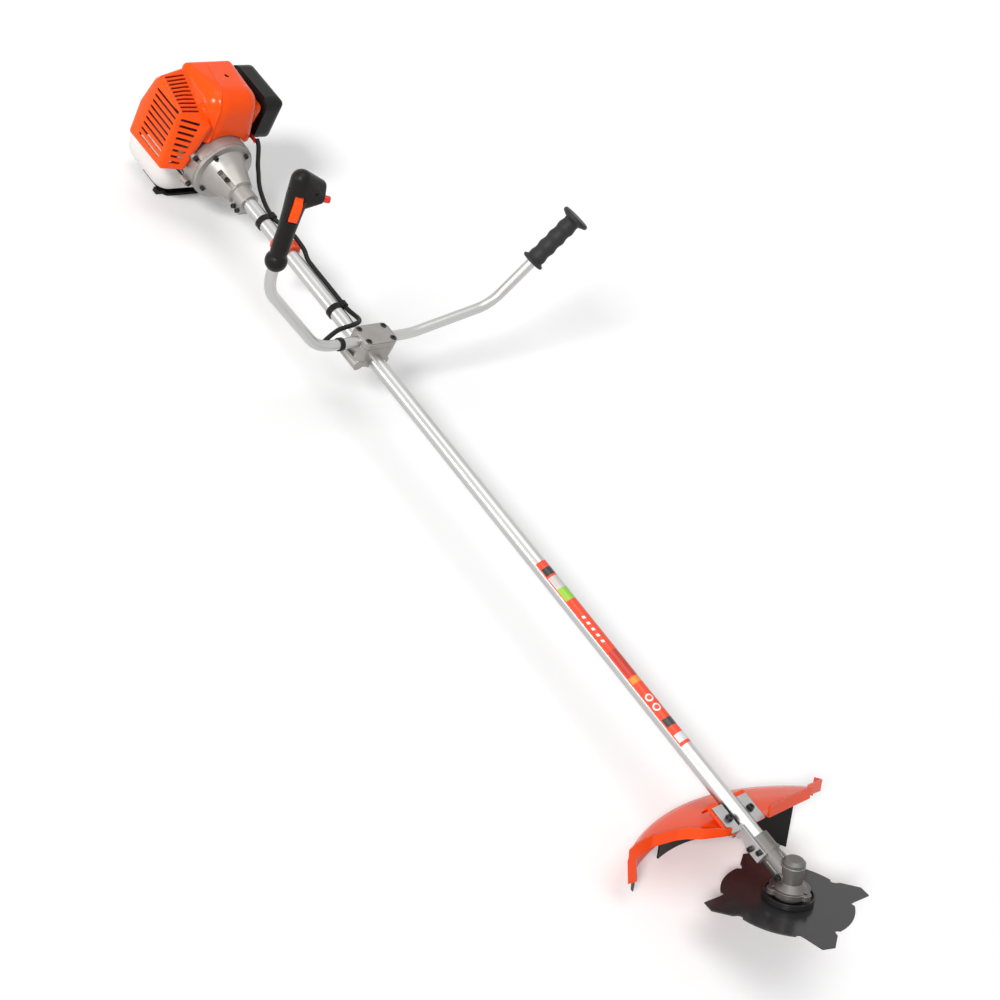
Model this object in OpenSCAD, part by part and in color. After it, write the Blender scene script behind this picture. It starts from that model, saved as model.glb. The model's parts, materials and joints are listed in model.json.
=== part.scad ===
// Petrol brush cutter: straight shaft, bent handlebar, shield and four-tooth blade.
// It lies on level ground. +X runs along the shaft to the blade, +Y to the left, +Z up.
// The origin is on the ground under the middle of the tank stand. All sizes in millimetres.

/* [Overall] */
// Sub-part to draw, or all of them
// Height of the shaft axis above the ground
shaft_z = 124; // [110:1:150]
// Smoothness of round faces
$fn = 64; // [24:8:128]

/* [Fits] */
// Radial clearance of parts that turn or slide
run_gap = 0.06; // [0.02:0.01:0.1]
// Radial clearance of parts that are fixed in a bore
seat_gap = 0.03; // [0.01:0.01:0.1]

/* [Shaft] */
// Distance from the stand to the rear end of the tube
tube_start = 166; // [160:1:172]
// Length of the tube
tube_len = 1454; // [1300:1:1600]
// Outer diameter of the tube
tube_d = 26; // [24:0.5:28]
// Wall of the tube
tube_wall = 1.5; // [1.2:0.1:2]
// Diameter of the drive shaft inside the tube
drive_d = 8; // [7:0.5:9]
// Length of each bush inside the tube
bush_len = 24; // [15:1:40]
// Number of bushes
bush_count = 4; // [3:1:6]

/* [Gear head] */
// Angle between the tube and the plane of the blade
head_angle = 29; // [28:0.5:30]
// Distance from the end of the tube to the crossing of both axes
head_reach = 40; // [39:0.5:44]
// Outer radius of the upright body
head_r = 16.8; // [16.4:0.1:19]
// Outer radius of the collar on the tube
collar_r = 17.5; // [16.5:0.1:20]
// Length of the collar on the tube
collar_len = 37; // [30:1:44]
// Depth of the blade below the crossing of both axes
blade_drop = 31; // [30:0.5:34]
// Radius of the bolt circle of the flange
flange_hole_r = 27; // [26.5:0.5:29]
// Teeth of the pinion
pinion_teeth = 15; // [15:1:15]
// Teeth of the gear
gear_teeth = 20; // [20:1:20]
// Pitch cone length of both gears
cone_len = 20; // [19:0.5:20]
// Length of the teeth
tooth_len = 7; // [6:0.5:7.5]

/* [Blade] */
// Diameter over the tips
blade_d = 255; // [230:1:305]
// Thickness
blade_t = 2; // [1.4:0.1:2.6]
// Bore
blade_bore = 25.4; // [20:0.1:25.4]
// Number of cutting teeth
blade_teeth = 4; // [3:1:4]
// Radius of the black cup above the blade
cup_r = 38; // [36:0.5:42]

/* [Shield] */
// Radius of the rim
rim_r = 330; // [320:1:340]
// Distance of its centre ahead of the blade axis
shield_lead = 125; // [120:1:130]
// Distance of its centre to the right of the blade axis
shield_side = 10; // [6:1:14]
// Height of the rim above the blade
rim_h = 60; // [55:1:66]
// Height of the top near the shaft above the blade
crown_h = 84; // [80:1:88]
// Wall
shield_wall = 2.6; // [2:0.1:3.5]
// Depth of the skirt below the rim
skirt_h = 42; // [36:1:50]
// Width of the raised lip along the front edge
lip_w = 3; // [2:0.5:4]
// Height of the raised lip
lip_h = 16; // [12:0.5:18]
// Width of the band at the right end of the shield
end_w = 11; // [9:0.5:14]
// Distance of the two shield bolts from the shaft
shield_bolt_y = 25; // [24:0.5:27]

/* [Handle] */
// Distance of the handle clamp from the stand
clamp_x = 568; // [520:1:640]
// Diameter of the handlebar
bar_d = 18; // [17:0.5:20]
// Wall of the handlebar
bar_wall = 1.5; // [1.2:0.1:2]
// Height of the handlebar above the shaft axis
bar_z = 26; // [25.5:0.5:30]
// Reach of the left bend
left_reach = 250; // [230:1:270]
// Height of the left bend
left_rise = 69; // [60:1:80]
// Slope of the left end
left_slope = 63.4; // [55:0.5:70]
// Length of the left end
left_end = 204; // [190:1:225]
// Reach of the right bend
right_reach = 300; // [290:1:320]
// Height of the right bend
right_rise = 178; // [165:1:190]
// Backward lean of the throttle grip
lean_back = 7.3; // [0:0.1:12]
// Outward lean of the throttle grip
lean_out = 2.2; // [0:0.1:6]
// Length of the left grip
grip_len = 108; // [95:1:125]
// Diameter of the left grip
grip_d = 30; // [28:0.5:33]

/* [Throttle] */
// Radius of the ball at the foot of the throttle housing
ball_r = 17; // [16.5:0.5:18]
// Radius of the grip part
hand_r = 14; // [13.8:0.1:14.6]
// Wall of the housing
housing_wall = 2.4; // [2:0.1:2.8]
// Diameter of the stop button
button_d = 11; // [9:0.5:12]
// Diameter of the cable sleeve
cable_d = 8; // [6:0.5:8.5]

/* [Engine] */
// Distance from the stand to the mounting face of the clutch housing
clutch_x = 114; // [113:0.5:115]
// Radius of the clutch housing flange
clutch_r = 57; // [55:0.5:60]
// Radius of the clutch drum
drum_r = 39; // [36:0.5:40]
// Radius of the fan housing
fan_r = 58; // [57.5:0.5:60]
// Radius of the flywheel
wheel_r = 50; // [48:0.5:51]
// Radius of the starter housing
starter_r = 58; // [54:0.5:59]
// Radius of the starter pulley
pulley_r = 34; // [30:0.5:36]
// Wall of the covers
cover_wall = 2.5; // [2:0.1:3]
// Height of a cooling slot
slot_h = 5; // [3:0.5:6]
// Distance between cooling slots
slot_pitch = 11.75; // [11:0.25:12.5]
// Number of cooling slots in the side
slot_count = 9; // [5:1:9]
// Number of cooling fins
fin_count = 7; // [4:1:8]

/* [Tank] */
// Length of the tank along the shaft
tank_len = 134; // [128:1:140]
// Reach of the tank to the left
tank_left = 118; // [110:1:124]
// Reach of the tank to the right
tank_right = 66; // [60:1:76]
// Radius of the corners of the tank
tank_r = 34; // [28:1:36]
// Depth of the tank floor below the shaft axis
tank_drop = 104; // [102:1:106]
// Diameter of the fuel cap
cap_d = 44; // [36:1:50]
// Length of the stand on the ground
stand_l = 80; // [76:1:84]
// Width of the stand on the ground
stand_w = 84; // [76:1:90]

/* [Fasteners] */
// Diameter of the larger bolts
bolt_d = 6; // [5:0.5:6]
// Diameter of the smaller bolts
screw_d = 5; // [4:0.5:5]

/* [Hidden] */
tiny = 0.01;
gear_x = tube_start + tube_len + head_reach;
tube_r = tube_d / 2;
bar_r = bar_d / 2;
cable_r = cable_d / 2;
bearing_w = 8;
ball_bearing_r = 17.5;
ball_bearing_bore = 7.5;
ball_bearing_w = 11;
top_bearing_r = 14;
top_bearing_bore = 6;
square_side = drive_d * 0.7;
bolt_head_d = bolt_d * 1.7;
screw_head_d = screw_d * 1.7;
tilt_x = -lean_back;
throttle_tilt = [lean_out, tilt_x, 0];
throttle_turn = -30;
far = 400;
left_dir = [0, cos(left_slope), sin(left_slope)];
right_dir = [cos(lean_out) * sin(tilt_x), -sin(lean_out), cos(lean_out) * cos(tilt_x)];
left_corner = [0, left_reach, left_rise];
right_corner = [0, -right_reach, right_rise];
ball_at = 51;
bar_stop = 62;
bar_points = [
    left_corner + left_end * left_dir,
    left_corner,
    [0, 85, bar_z],
    [0, -122, bar_z],
    right_corner,
    right_corner + (ball_at + bar_stop) * right_dir
];
bar_bends = [0, 60, 120, 100, 72];
bend_swell = 0.05;
bend_lap = 90;

// Children stand with their Z axis along the shaft, from the distance x.
module along_shaft(x) {
    translate([x, 0, shaft_z]) rotate([0, 90, 0]) children();
}

// Children stand on the crossing of both axes with Z along the blade axis.
module at_head() {
    translate([gear_x, 0, shaft_z]) rotate([0, -head_angle, 0]) children();
}

// Children stand on the shaft axis above the stand.
module at_engine() {
    translate([0, 0, shaft_z]) children();
}

// Children stand on the shaft axis at the handle clamp.
module at_clamp() {
    translate([clamp_x, 0, shaft_z]) children();
}

// Children stand on the ball of the throttle housing with Z along the grip.
module at_throttle() {
    at_clamp() translate(right_corner + ball_at * right_dir) rotate(throttle_tilt)
        rotate([0, 0, throttle_turn]) children();
}

// Ring standing on z = 0.
module ring(r_out, r_in, h) {
    difference() {
        cylinder(r = r_out, h = h);
        translate([0, 0, -1]) cylinder(r = r_in, h = h + 2);
    }
}

// Square bar or hole along Z.
module square_bar(side, h) {
    translate([-side / 2, -side / 2, 0]) cube([side, side, h]);
}

// Socket-head bolt with its head on z = 0 and its shank below.
module bolt(d, length) {
    translate([0, 0, -length]) cylinder(d = d, h = length + tiny);
    difference() {
        cylinder(d = d * 1.7, h = d);
        translate([0, 0, d * 0.45]) cylinder(d = d * 0.95, h = d, $fn = 6);
    }
}

// Hole for a bolt on z = 0.
module bolt_hole(d, length) {
    translate([0, 0, -length - 0.3]) cylinder(r = d / 2 + seat_gap, h = length + 20);
}

// Plate with rounded corners standing on z = 0.
module round_plate(x, y, r, h) {
    linear_extrude(h) round_square(x, y, r);
}

// Rectangle with rounded corners in the middle of the plane.
module round_square(x, y, r) {
    square([x - 2 * r, y], center = true);
    square([x, y - 2 * r], center = true);
    for (sx = [-1, 1], sy = [-1, 1]) translate([sx * (x / 2 - r), sy * (y / 2 - r)]) circle(r);
}

// Box with rounded edges standing on z = 0.
module round_box(x, y, z, r) {
    intersection() {
        round_plate(x, y, r, z);
        translate([0, 0, z / 2]) rotate([90, 0, 0]) translate([0, 0, -y]) round_plate(x, z, r, 2 * y);
        translate([0, 0, z / 2]) rotate([0, 90, 0]) translate([0, 0, -x]) round_plate(z, y, r, 2 * x);
    }
}

// Slot along X with round ends, cut through along Z.
module slot(length, width, depth) {
    translate([-length / 2 + width / 2, -width / 2, 0]) cube([length - width, width, depth]);
    for (s = [-1, 1]) translate([s * (length - width) / 2, 0, 0]) cylinder(d = width, h = depth);
}

// Bent rod along a line of points with a bend radius at each inner point.
function unit(v) = v / norm(v);
function turn(p, i) = acos(unit(p[i] - p[i - 1]) * unit(p[i + 1] - p[i]));
function tangent(p, b, i) = (i == 0 || i == len(p) - 1) ? 0 : b[i] * tan(turn(p, i) / 2);

module bent_rod(p, b, r) {
    for (i = [0 : len(p) - 2]) {
        along = unit(p[i + 1] - p[i]);
        a = p[i] + along * tangent(p, b, i);
        z = p[i + 1] - along * tangent(p, b, i + 1);
        translate(a) aim(along) cylinder(r = r, h = norm(z - a));
    }
    for (i = [1 : len(p) - 2]) {
        way_in = unit(p[i] - p[i - 1]);
        way_out = unit(p[i + 1] - p[i]);
        side = unit(way_out - (way_out * way_in) * way_in);
        middle = p[i] - way_in * tangent(p, b, i) + side * b[i];
        up = cross(-side, way_in);
        multmatrix([
            [-side[0], way_in[0], up[0], middle[0]],
            [-side[1], way_in[1], up[1], middle[1]],
            [-side[2], way_in[2], up[2], middle[2]],
            [0, 0, 0, 1]
        ]) rotate([0, 0, -bend_lap / b[i]]) rotate_extrude(angle = turn(p, i) + 2 * bend_lap / b[i])
            translate([b[i], 0]) circle(r + bend_swell);
    }
}

// Turns Z to the given direction.
module aim(v) {
    rotate([0, 0, atan2(v[1], v[0])]) rotate([0, acos(v[2] / norm(v)), 0]) children();
}

// Shaft

tube_end = tube_start + tube_len;

module shaft_tube() {
    color("silver") along_shaft(tube_start) ring(tube_r, tube_r - tube_wall, tube_len);
}

module tube_bushes() {
    step = tube_len / bush_count;
    color("dimgray") for (i = [0 : bush_count - 1])
        along_shaft(tube_start + step * (i + 0.5) - bush_len / 2) difference() {
            cylinder(r = tube_r - tube_wall - seat_gap, h = bush_len);
            translate([0, 0, -1]) cylinder(r = drive_d / 2 + run_gap, h = bush_len + 2);
            for (a = [0 : 90 : 270]) rotate([0, 0, a])
                translate([tube_r - tube_wall - 1.2, -1.5, -1]) cube([4, 3, bush_len + 2]);
        }
}

drum_hub_end = clutch_x + 50;
drive_from = drum_hub_end - 22;
drive_to = tube_end + 16;

module drive_shaft() {
    square_len = 22;
    color("gray") {
        along_shaft(drive_from + square_len)
            cylinder(d = drive_d, h = drive_to - drive_from - 2 * square_len);
        along_shaft(drive_from) square_bar(square_side, square_len + tiny);
        along_shaft(drive_to - square_len - tiny) square_bar(square_side, square_len + tiny);
    }
}

// Ball bearing drawn as two rings and the shield between them.
module bearing(r_out, r_in, w) {
    difference() {
        cylinder(r = r_out, h = w);
        translate([0, 0, -1]) cylinder(r = r_in + run_gap, h = w + 2);
        for (z = [-1, w - 0.6]) translate([0, 0, z]) ring(r_out - 2.2, r_in + 2.2, 1.6);
    }
}

pinion_bearing_x = tube_end + 1;
drum_bearing_x = clutch_x + 34;
low_bearing_z = -23;
top_bearing_z = 19.5;

module bearings() {
    color("gainsboro") {
        along_shaft(pinion_bearing_x) bearing(tube_r, 5, bearing_w);
        along_shaft(drum_bearing_x) bearing(ball_bearing_r, ball_bearing_bore, ball_bearing_w);
        at_head() {
            translate([0, 0, low_bearing_z]) bearing(ball_bearing_r, ball_bearing_bore, ball_bearing_w);
            translate([0, 0, top_bearing_z]) bearing(top_bearing_r, top_bearing_bore, bearing_w);
        }
    }
}

// Gear head

head_top = 35;
flange_low = -17;
flange_high = -9;
boss_low = low_bearing_z - 1.2;
neck_r = collar_r - 1.2;
plate_y = collar_r + 0.5;
plate_t = 2.5;
tongue_bolts = [[-68, -5], [-55, 4]];
tongue_grip = 3.5;

module tongue_bolt_spots() {
    for (p = tongue_bolts) translate([gear_x + p[0], -plate_y - plate_t, shaft_z + p[1]])
        rotate([90, 0, 0]) children();
}

module plug_spot() {
    translate([gear_x - 12, -collar_r - 1, shaft_z]) rotate([90, 0, 0]) children();
}

module gear_case() {
    color("darkgray") difference() {
        union() {
            along_shaft(tube_end - collar_len) {
                cylinder(r = collar_r, h = collar_len - 10);
                translate([0, 0, collar_len - 12]) cylinder(r = collar_r + 1.2, h = 4);
                cylinder(r = neck_r, h = collar_len + head_reach);
                for (a = [90 : 45 : 270]) rotate([0, 0, a])
                    translate([neck_r - 1, -1.2, collar_len]) cube([2.4, 2.4, 22]);
            }
            at_head() {
                translate([0, 0, flange_low]) cylinder(r = head_r, h = head_top - 4 - flange_low);
                translate([0, 0, head_top - 4]) cylinder(r1 = head_r, r2 = head_r - 4, h = 4);
                translate([0, 0, head_top - 12]) ring(head_r + 0.7, head_r - 1, 2.5);
                translate([0, 0, boss_low]) cylinder(r = ball_bearing_r + 4, h = flange_high - boss_low);
                translate([0, 0, flange_high]) cylinder(r1 = head_r + 8, r2 = head_r, h = 9);
                translate([0, 0, flange_low]) linear_extrude(flange_high - flange_low) flange_shape();
            }
            translate([gear_x - 75, -plate_y, shaft_z - 10]) cube([30, plate_y, 19]);
            plug_spot() translate([0, 0, -8]) cylinder(r = 6.5, h = 8);
        }
        along_shaft(tube_end - collar_len - 1)
            cylinder(r = tube_r + seat_gap,
                h = collar_len + 1 + pinion_bearing_x - tube_end + bearing_w + 0.2);
        along_shaft(pinion_bearing_x) cylinder(r = 10.8, h = gear_x - pinion_bearing_x);
        at_head() {
            translate([0, 0, low_bearing_z + ball_bearing_w - 1]) cylinder(r = 13.6, h = 33);
            translate([0, 0, boss_low - 1])
                cylinder(r = ball_bearing_r + seat_gap, h = ball_bearing_w + 2.3);
            translate([0, 0, top_bearing_z - 0.1])
                cylinder(r = top_bearing_r + seat_gap, h = bearing_w + 0.3);
            for (a = [0, 120, 240]) rotate([0, 0, a]) translate([flange_hole_r, 0, flange_low - 1])
                cylinder(d = bolt_d, h = flange_high - flange_low + 2);
        }
        translate([gear_x - 90, -plate_y - 10, shaft_z - 30]) cube([48, 10, 60]);
        tongue_bolt_spots() bolt_hole(screw_d, plate_t + tongue_grip);
        plug_spot() bolt_hole(bolt_d, 6);
    }
}

module flange_shape() {
    circle(r = flange_hole_r + 2.5);
    for (a = [0, 120, 240]) rotate([0, 0, a]) {
        translate([flange_hole_r, 0]) circle(r = bolt_d / 2 + 5.5);
        translate([0, -bolt_d / 2 - 5.5]) square([flange_hole_r, bolt_d + 11]);
    }
}

module gear_case_bolts() {
    color("black") {
        tongue_bolt_spots() bolt(screw_d, plate_t + tongue_grip);
        plug_spot() bolt(bolt_d, 6);
    }
}

axes_angle = 90 - head_angle;

// Straight bevel gear with its apex in the origin and its back at +Z.
module bevel(teeth, mate, start) {
    pitch = atan2(sin(axes_angle), mate / teeth + cos(axes_angle));
    face = pitch + 2.4;
    root = pitch - 3.4;
    back = cone_len * cos(pitch);
    front = (cone_len - tooth_len) * cos(pitch);
    gap = 360 * sin(pitch) / teeth * 0.6;
    difference() {
        translate([0, 0, front]) cylinder(r1 = front * tan(face), r2 = back * tan(face),
            h = back - front);
        for (i = [0 : teeth - 1]) rotate([0, 0, 360 / teeth * (i + start)]) rotate([0, root, 0])
            rotate([90, 0, 90]) linear_extrude(6)
                polygon([[0, 0], [tan(gap / 2) * 30, 30], [-tan(gap / 2) * 30, 30]]);
    }
}

module pinion() {
    socket_from = tube_end - 6;
    color("slategray") difference() {
        union() {
            translate([gear_x, 0, shaft_z]) rotate([0, -90, 0]) bevel(pinion_teeth, gear_teeth, 0.5);
            along_shaft(socket_from) cylinder(r = 5, h = head_reach + 6 - 17.5);
            along_shaft(pinion_bearing_x + bearing_w + 0.2) cylinder(r = 6.4, h = head_reach - 9.2 - 18);
        }
        along_shaft(socket_from - 1) square_bar(square_side + 2 * seat_gap, drive_to - socket_from + 1.5);
    }
}

module bevel_gear() {
    color("slategray") at_head() difference() {
        union() {
            bevel(gear_teeth, pinion_teeth, 0);
            translate([0, 0, 16]) cylinder(r = 9, h = 3.3);
        }
        translate([0, 0, -1]) cylinder(r = top_bearing_bore + seat_gap, h = 30);
    }
}

blade_top = blade_t / 2 - blade_drop;
blade_low = blade_top - blade_t;

module output_shaft() {
    color("gray") at_head() {
        translate([0, 0, -10]) cylinder(r = top_bearing_bore, h = 37);
        translate([0, 0, blade_low + 0.4])
            cylinder(r = ball_bearing_bore, h = -10 - blade_low - 0.4 + tiny);
        translate([0, 0, blade_low - 16]) cylinder(r = 5, h = 17);
    }
}

module upper_flange() {
    r = ball_bearing_bore + seat_gap;
    spigot = blade_bore / 2 - seat_gap;
    color("dimgray") at_head() rotate_extrude() polygon([
        [r, blade_low + 0.4], [spigot, blade_low + 0.4], [spigot, blade_top], [cup_r - 4, blade_top],
        [cup_r, blade_top + 3], [cup_r, flange_low - 2], [cup_r - 2.5, flange_low - 2],
        [cup_r - 2.5, blade_top + 4.5], [cup_r - 4, blade_top + 4], [13.5, blade_top + 4],
        [12, boss_low - 0.5], [r, boss_low - 0.5]
    ]);
}

function polar(r, a) = [r * cos(a), r * sin(a)];

module blade() {
    tip = blade_d / 2;
    body = tip * 0.76;
    color("dimgray") at_head() translate([0, 0, blade_low]) linear_extrude(blade_t) difference() {
        union() {
            circle(body);
            for (i = [0 : blade_teeth - 1]) rotate([0, 0, 360 / blade_teeth * i - 32.5]) polygon([
                polar(body - 8, -14), polar(body - 4, -11), polar(tip, 0), polar(tip - 1.5, 9.4),
                polar(tip * 0.815, 20), polar(body - 4, 22), polar(body - 8, 25)
            ]);
        }
        circle(d = blade_bore + 2 * seat_gap);
        for (i = [0 : blade_teeth - 1], a = [-12.5, 24.5])
            rotate([0, 0, 360 / blade_teeth * i - 32.5 + a])
            translate([body + 1.5, 0]) circle(5);
    }
}

module lower_flange() {
    z = blade_low;
    color("gray") at_head() rotate_extrude() polygon([
        [5 + seat_gap, z], [30, z], [30, z - 3], [24, z - 9], [20, z - 12], [15, z - 12], [15, z - 4],
        [5 + seat_gap, z - 4]
    ]);
}

module blade_nut() {
    z = blade_low - 4;
    color("silver") at_head() translate([0, 0, z - 9]) difference() {
        union() {
            cylinder(r = 9.8, h = 9, $fn = 6);
            translate([0, 0, 7]) cylinder(r = 12, h = 2);
        }
        translate([0, 0, -1]) cylinder(r = 5 + seat_gap, h = 12);
    }
}

// Shield

crown_r = shield_lead + 70;
skirt_low = rim_h - skirt_h;
deck_t = 3;
deck_from = -150;
trough_y = plate_y + plate_t + 1;
shield_bolt_x = -120;

// Cross-section of the top and skirt, raised by up, with a top thick by t and a skirt thick by s.
module shield_profile(up, t, s) {
    polygon([
        [crown_r, crown_h + up], [crown_r + 65, crown_h - 3 + up], [rim_r - 24, crown_h - 12 + up],
        [rim_r - 7, rim_h + 5 + up], [rim_r, rim_h + up - 3], [rim_r - 5, skirt_low],
        [rim_r - 5 - s, skirt_low], [rim_r - s, rim_h - 4], [rim_r - 7 - s, rim_h + 4 + up - t],
        [rim_r - 24 - s / 2, crown_h - 12 + up - t], [crown_r + 65, crown_h - 3 + up - t],
        [crown_r, crown_h + up - t]
    ]);
}

// Turns a cross-section given by radius and height above the blade about the centre of the shield.
module shield_sweep(from, to) {
    at_head() translate([shield_lead, -shield_side, -blade_drop]) rotate([0, 0, from])
        rotate_extrude(angle = to - from, $fn = 128) children();
}

// Point of the plan at a distance and angle from the centre of the shield.
function shield_point(r, a) = [shield_lead + r * cos(a), -shield_side + r * sin(a)];

lip_over = 0.5;

// Points just ahead of an edge and the same points moved back, as one closed strip.
function strip(edge, w) = concat(
    [for (p = edge) p + [lip_over, 0]], [for (i = [len(edge) - 1 : -1 : 0]) edge[i] - [w, 0]]
);

end_out = shield_point(rim_r + 11, 214.8);
end_in = shield_point(rim_r - 27.6, 207.6);
front_right = [[-78, -18], [-86, -55], [-103, -88], shield_point(rim_r - 57, 202.6), end_in, end_out];
left_span = rim_r - 181;
front_left = [
    [-80, 18], [-80, left_span], [-88, left_span + 6], [-93, left_span + 50], [-108, left_span + 56],
    shield_point(rim_r + 13, 135.8)
];

// Prism over a plan drawn along the blade axis.
module head_prism() {
    at_head() translate([0, 0, -120]) linear_extrude(260) children();
}

// Plan of the shield, open to the rear.
module shield_plan() {
    behind = [[-rim_r, -rim_r], [-rim_r, rim_r]];
    back = [for (i = [len(front_left) - 1 : -1 : 0]) front_left[i]];
    head_prism() polygon(concat(front_right, behind, back));
}

// Strips of the plan along the front edges.
module lip_plan() {
    head_prism() {
        polygon(strip(front_right, lip_w));
        polygon(strip(front_left, lip_w));
    }
}

// Wedge that lowers the lip towards the bracket.
module lip_slope() {
    at_head() translate([-140, 0, -blade_drop]) rotate([90, 0, 90]) linear_extrude(90) polygon([
        [-125, crown_h + lip_h + 1], [-44, crown_h + lip_h / 2], [-10, crown_h + lip_h / 2],
        [-10, crown_h + 60], [-125, crown_h + 60]
    ]);
}

// Ribs under the top, running outwards.
module under_ribs() {
    for (a = [155, 166]) shield_sweep(a - 0.25, a + 0.25) polygon([
        [crown_r + 50, crown_h - 3], [rim_r - 24, crown_h - 13], [rim_r - 14, rim_h + 2],
        [rim_r - 14, rim_h - 12],
        [rim_r - 30, rim_h - 2], [crown_r + 60, crown_h - 12]
    ]);
}

module shield_bolt_spots() {
    for (s = [-1, 1]) translate([gear_x + shield_bolt_x, s * shield_bolt_y, shaft_z + deck_t]) children();
}

module guard() {
    color("orangered") difference() {
        union() {
            difference() {
                union() {
                    intersection() {
                        union() {
                            shield_sweep(125, 225) shield_profile(0, shield_wall, shield_wall);
                            under_ribs();
                        }
                        shield_plan();
                    }
                    intersection() {
                        shield_sweep(125, 225) shield_profile(lip_h, lip_h + shield_wall, end_w);
                        lip_plan();
                    }
                }
                lip_slope();
                shield_sweep(120, 142.5) polygon([
                    [rim_r - 30, skirt_low - 1], [rim_r + 5, skirt_low - 1], [rim_r + 5, rim_h - 9],
                    [rim_r - 30, rim_h - 9]
                ]);
                translate([gear_x + deck_from, -44, shaft_z]) cube([120, 88, 60]);
            }
            translate([gear_x + deck_from, -44, shaft_z - shield_wall]) cube([52, 88, shield_wall]);
            for (s = [-1, 1]) {
                translate([gear_x + deck_from, s * (trough_y + 1.3) - 1.3, shaft_z - 15])
                    cube([52, 2.6, 15]);
                translate([gear_x + shield_bolt_x, s * shield_bolt_y, shaft_z - 12])
                    cylinder(r = 7, h = 12);
            }
            translate([gear_x + deck_from - 1, -44, shaft_z - 15]) cube([3, 88, 15]);
        }
        translate([gear_x + deck_from + 4, -trough_y, shaft_z - 80]) cube([120, 2 * trough_y, 140]);
        translate([gear_x + deck_from - 40, -trough_y, shaft_z - 14.5]) cube([60, 2 * trough_y, 40]);
        shield_bolt_spots() bolt_hole(bolt_d, 14);
    }
}

module guard_extension() {
    color("dimgray") intersection() {
        shield_sweep(142, 189) polygon([
            [rim_r - 5 - shield_wall - 2.9, skirt_low + 12],
            [rim_r - 5 - shield_wall - 0.4, skirt_low + 12],
            [rim_r - 5 - shield_wall - 0.4, skirt_low - 1], [rim_r - 8, -80], [rim_r - 10.6, -80],
            [rim_r - 5 - shield_wall - 2.9, skirt_low - 4]
        ]);
        translate([gear_x - 600, -400, 0]) cube([800, 800, 400]);
    }
}

cutter_t = 1.6;
cutter_turn = atan2(end_in[1] - end_out[1], end_in[0] - end_out[0]);

module line_cutter() {
    back = lip_w * sin(cutter_turn) + cutter_t + 0.1;
    color("silver") at_head() translate([end_out[0], end_out[1], -blade_drop]) rotate([0, 0, cutter_turn])
        translate([0, back, 0]) rotate([90, 0, 0]) linear_extrude(cutter_t)
            polygon([[33, 4], [36, 0], [37.5, 2], [38.5, skirt_low + 16], [31, skirt_low + 16]]);
}

channel_from = deck_from + 6;
channel_to = -98;
pad_t = plate_y - tube_r;

module guard_bracket() {
    base = [gear_x + channel_from, 0, shaft_z];
    long = channel_to - channel_from;
    outer = plate_y + plate_t;
    color("silver") difference() {
        translate(base) {
            for (s = [-1, 1]) {
                translate([0, s * (plate_y + plate_t / 2) - plate_t / 2, -plate_y])
                    cube([long, plate_t, plate_y + deck_t]);
                translate([0, s * (outer + 9) - 9 - (s < 0 ? 2 : 0), 0]) cube([long, 20, deck_t]);
            }
            translate([0, -outer, -plate_y - plate_t]) cube([long, 2 * outer, plate_t]);
            translate([long - 6, -outer, -12]) cube([-41 - channel_to, plate_t, 22]);
        }
        shield_bolt_spots() bolt_hole(bolt_d, 14);
        tongue_bolt_spots() bolt_hole(screw_d, plate_t + tongue_grip);
        translate([gear_x + channel_to + 6, -outer - 1, shaft_z - 13]) rotate([0, 30, 0])
            cube([14, 5, 10]);
    }
}

module bracket_pad() {
    long = channel_to - channel_from;
    color("black") translate([gear_x + channel_from, 0, shaft_z]) difference() {
        translate([0, -plate_y + seat_gap, -plate_y + seat_gap])
            cube([long, 2 * (plate_y - seat_gap), plate_y - 2]);
        translate([-1, 0, 0]) rotate([0, 90, 0]) cylinder(r = tube_r + seat_gap, h = long + 2);
    }
}

module guard_bolts() {
    color("black") shield_bolt_spots() {
        bolt(bolt_d, 14);
        translate([0, 0, 0]) ring(bolt_d, bolt_d / 2, 1.4);
    }
}

// Handle

bar_core = [
    bar_points[0] + 2 * left_dir, bar_points[1], bar_points[2], bar_points[3], bar_points[4],
    bar_points[5] + 2 * right_dir
];

bar_turn = bend_points(bar_points, bar_bends, 3, 12);
cable_entry = bar_turn[5] + [-3, 1, 1];
cable_way = unit([-12, 25, -1]);

module handlebar() {
    color("silver") at_clamp() difference() {
        bent_rod(bar_points, bar_bends, bar_r);
        bent_rod(bar_core, bar_bends, bar_r - bar_wall);
        translate(cable_entry) aim(cable_way) cylinder(r = cable_r + 1.6, h = 34);
    }
}

clamp_l = 46;
clamp_w = 74;
clamp_gap = 0.8;
cap_top = bar_z + bar_r + 4;
clamp_bolt_x = 14.5;
clamp_bolt_y = 27;

module clamp_bolt_spots() {
    for (sx = [-1, 1], sy = [-1, 1]) translate([sx * clamp_bolt_x, sy * clamp_bolt_y, cap_top - 5])
        children();
}

module bar_groove() {
    rotate([90, 0, 0]) translate([0, bar_z, -clamp_w]) cylinder(r = bar_r + seat_gap, h = 2 * clamp_w);
}

module tube_groove() {
    rotate([0, 90, 0]) translate([0, 0, -clamp_l]) cylinder(r = tube_r + seat_gap, h = 2 * clamp_l);
}

module clamp_cap() {
    color("gray") at_clamp() difference() {
        union() {
            translate([0, 0, bar_z + clamp_gap / 2])
                round_plate(clamp_l, clamp_w, 13, cap_top - bar_z - 2 - clamp_gap / 2);
            translate([0, 0, cap_top - 2]) round_plate(clamp_l - 3, clamp_w - 3, 12, 2);
        }
        bar_groove();
        clamp_bolt_spots() {
            bolt_hole(bolt_d, 60);
            cylinder(d = bolt_head_d + 1.2, h = 10);
        }
    }
}

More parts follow.
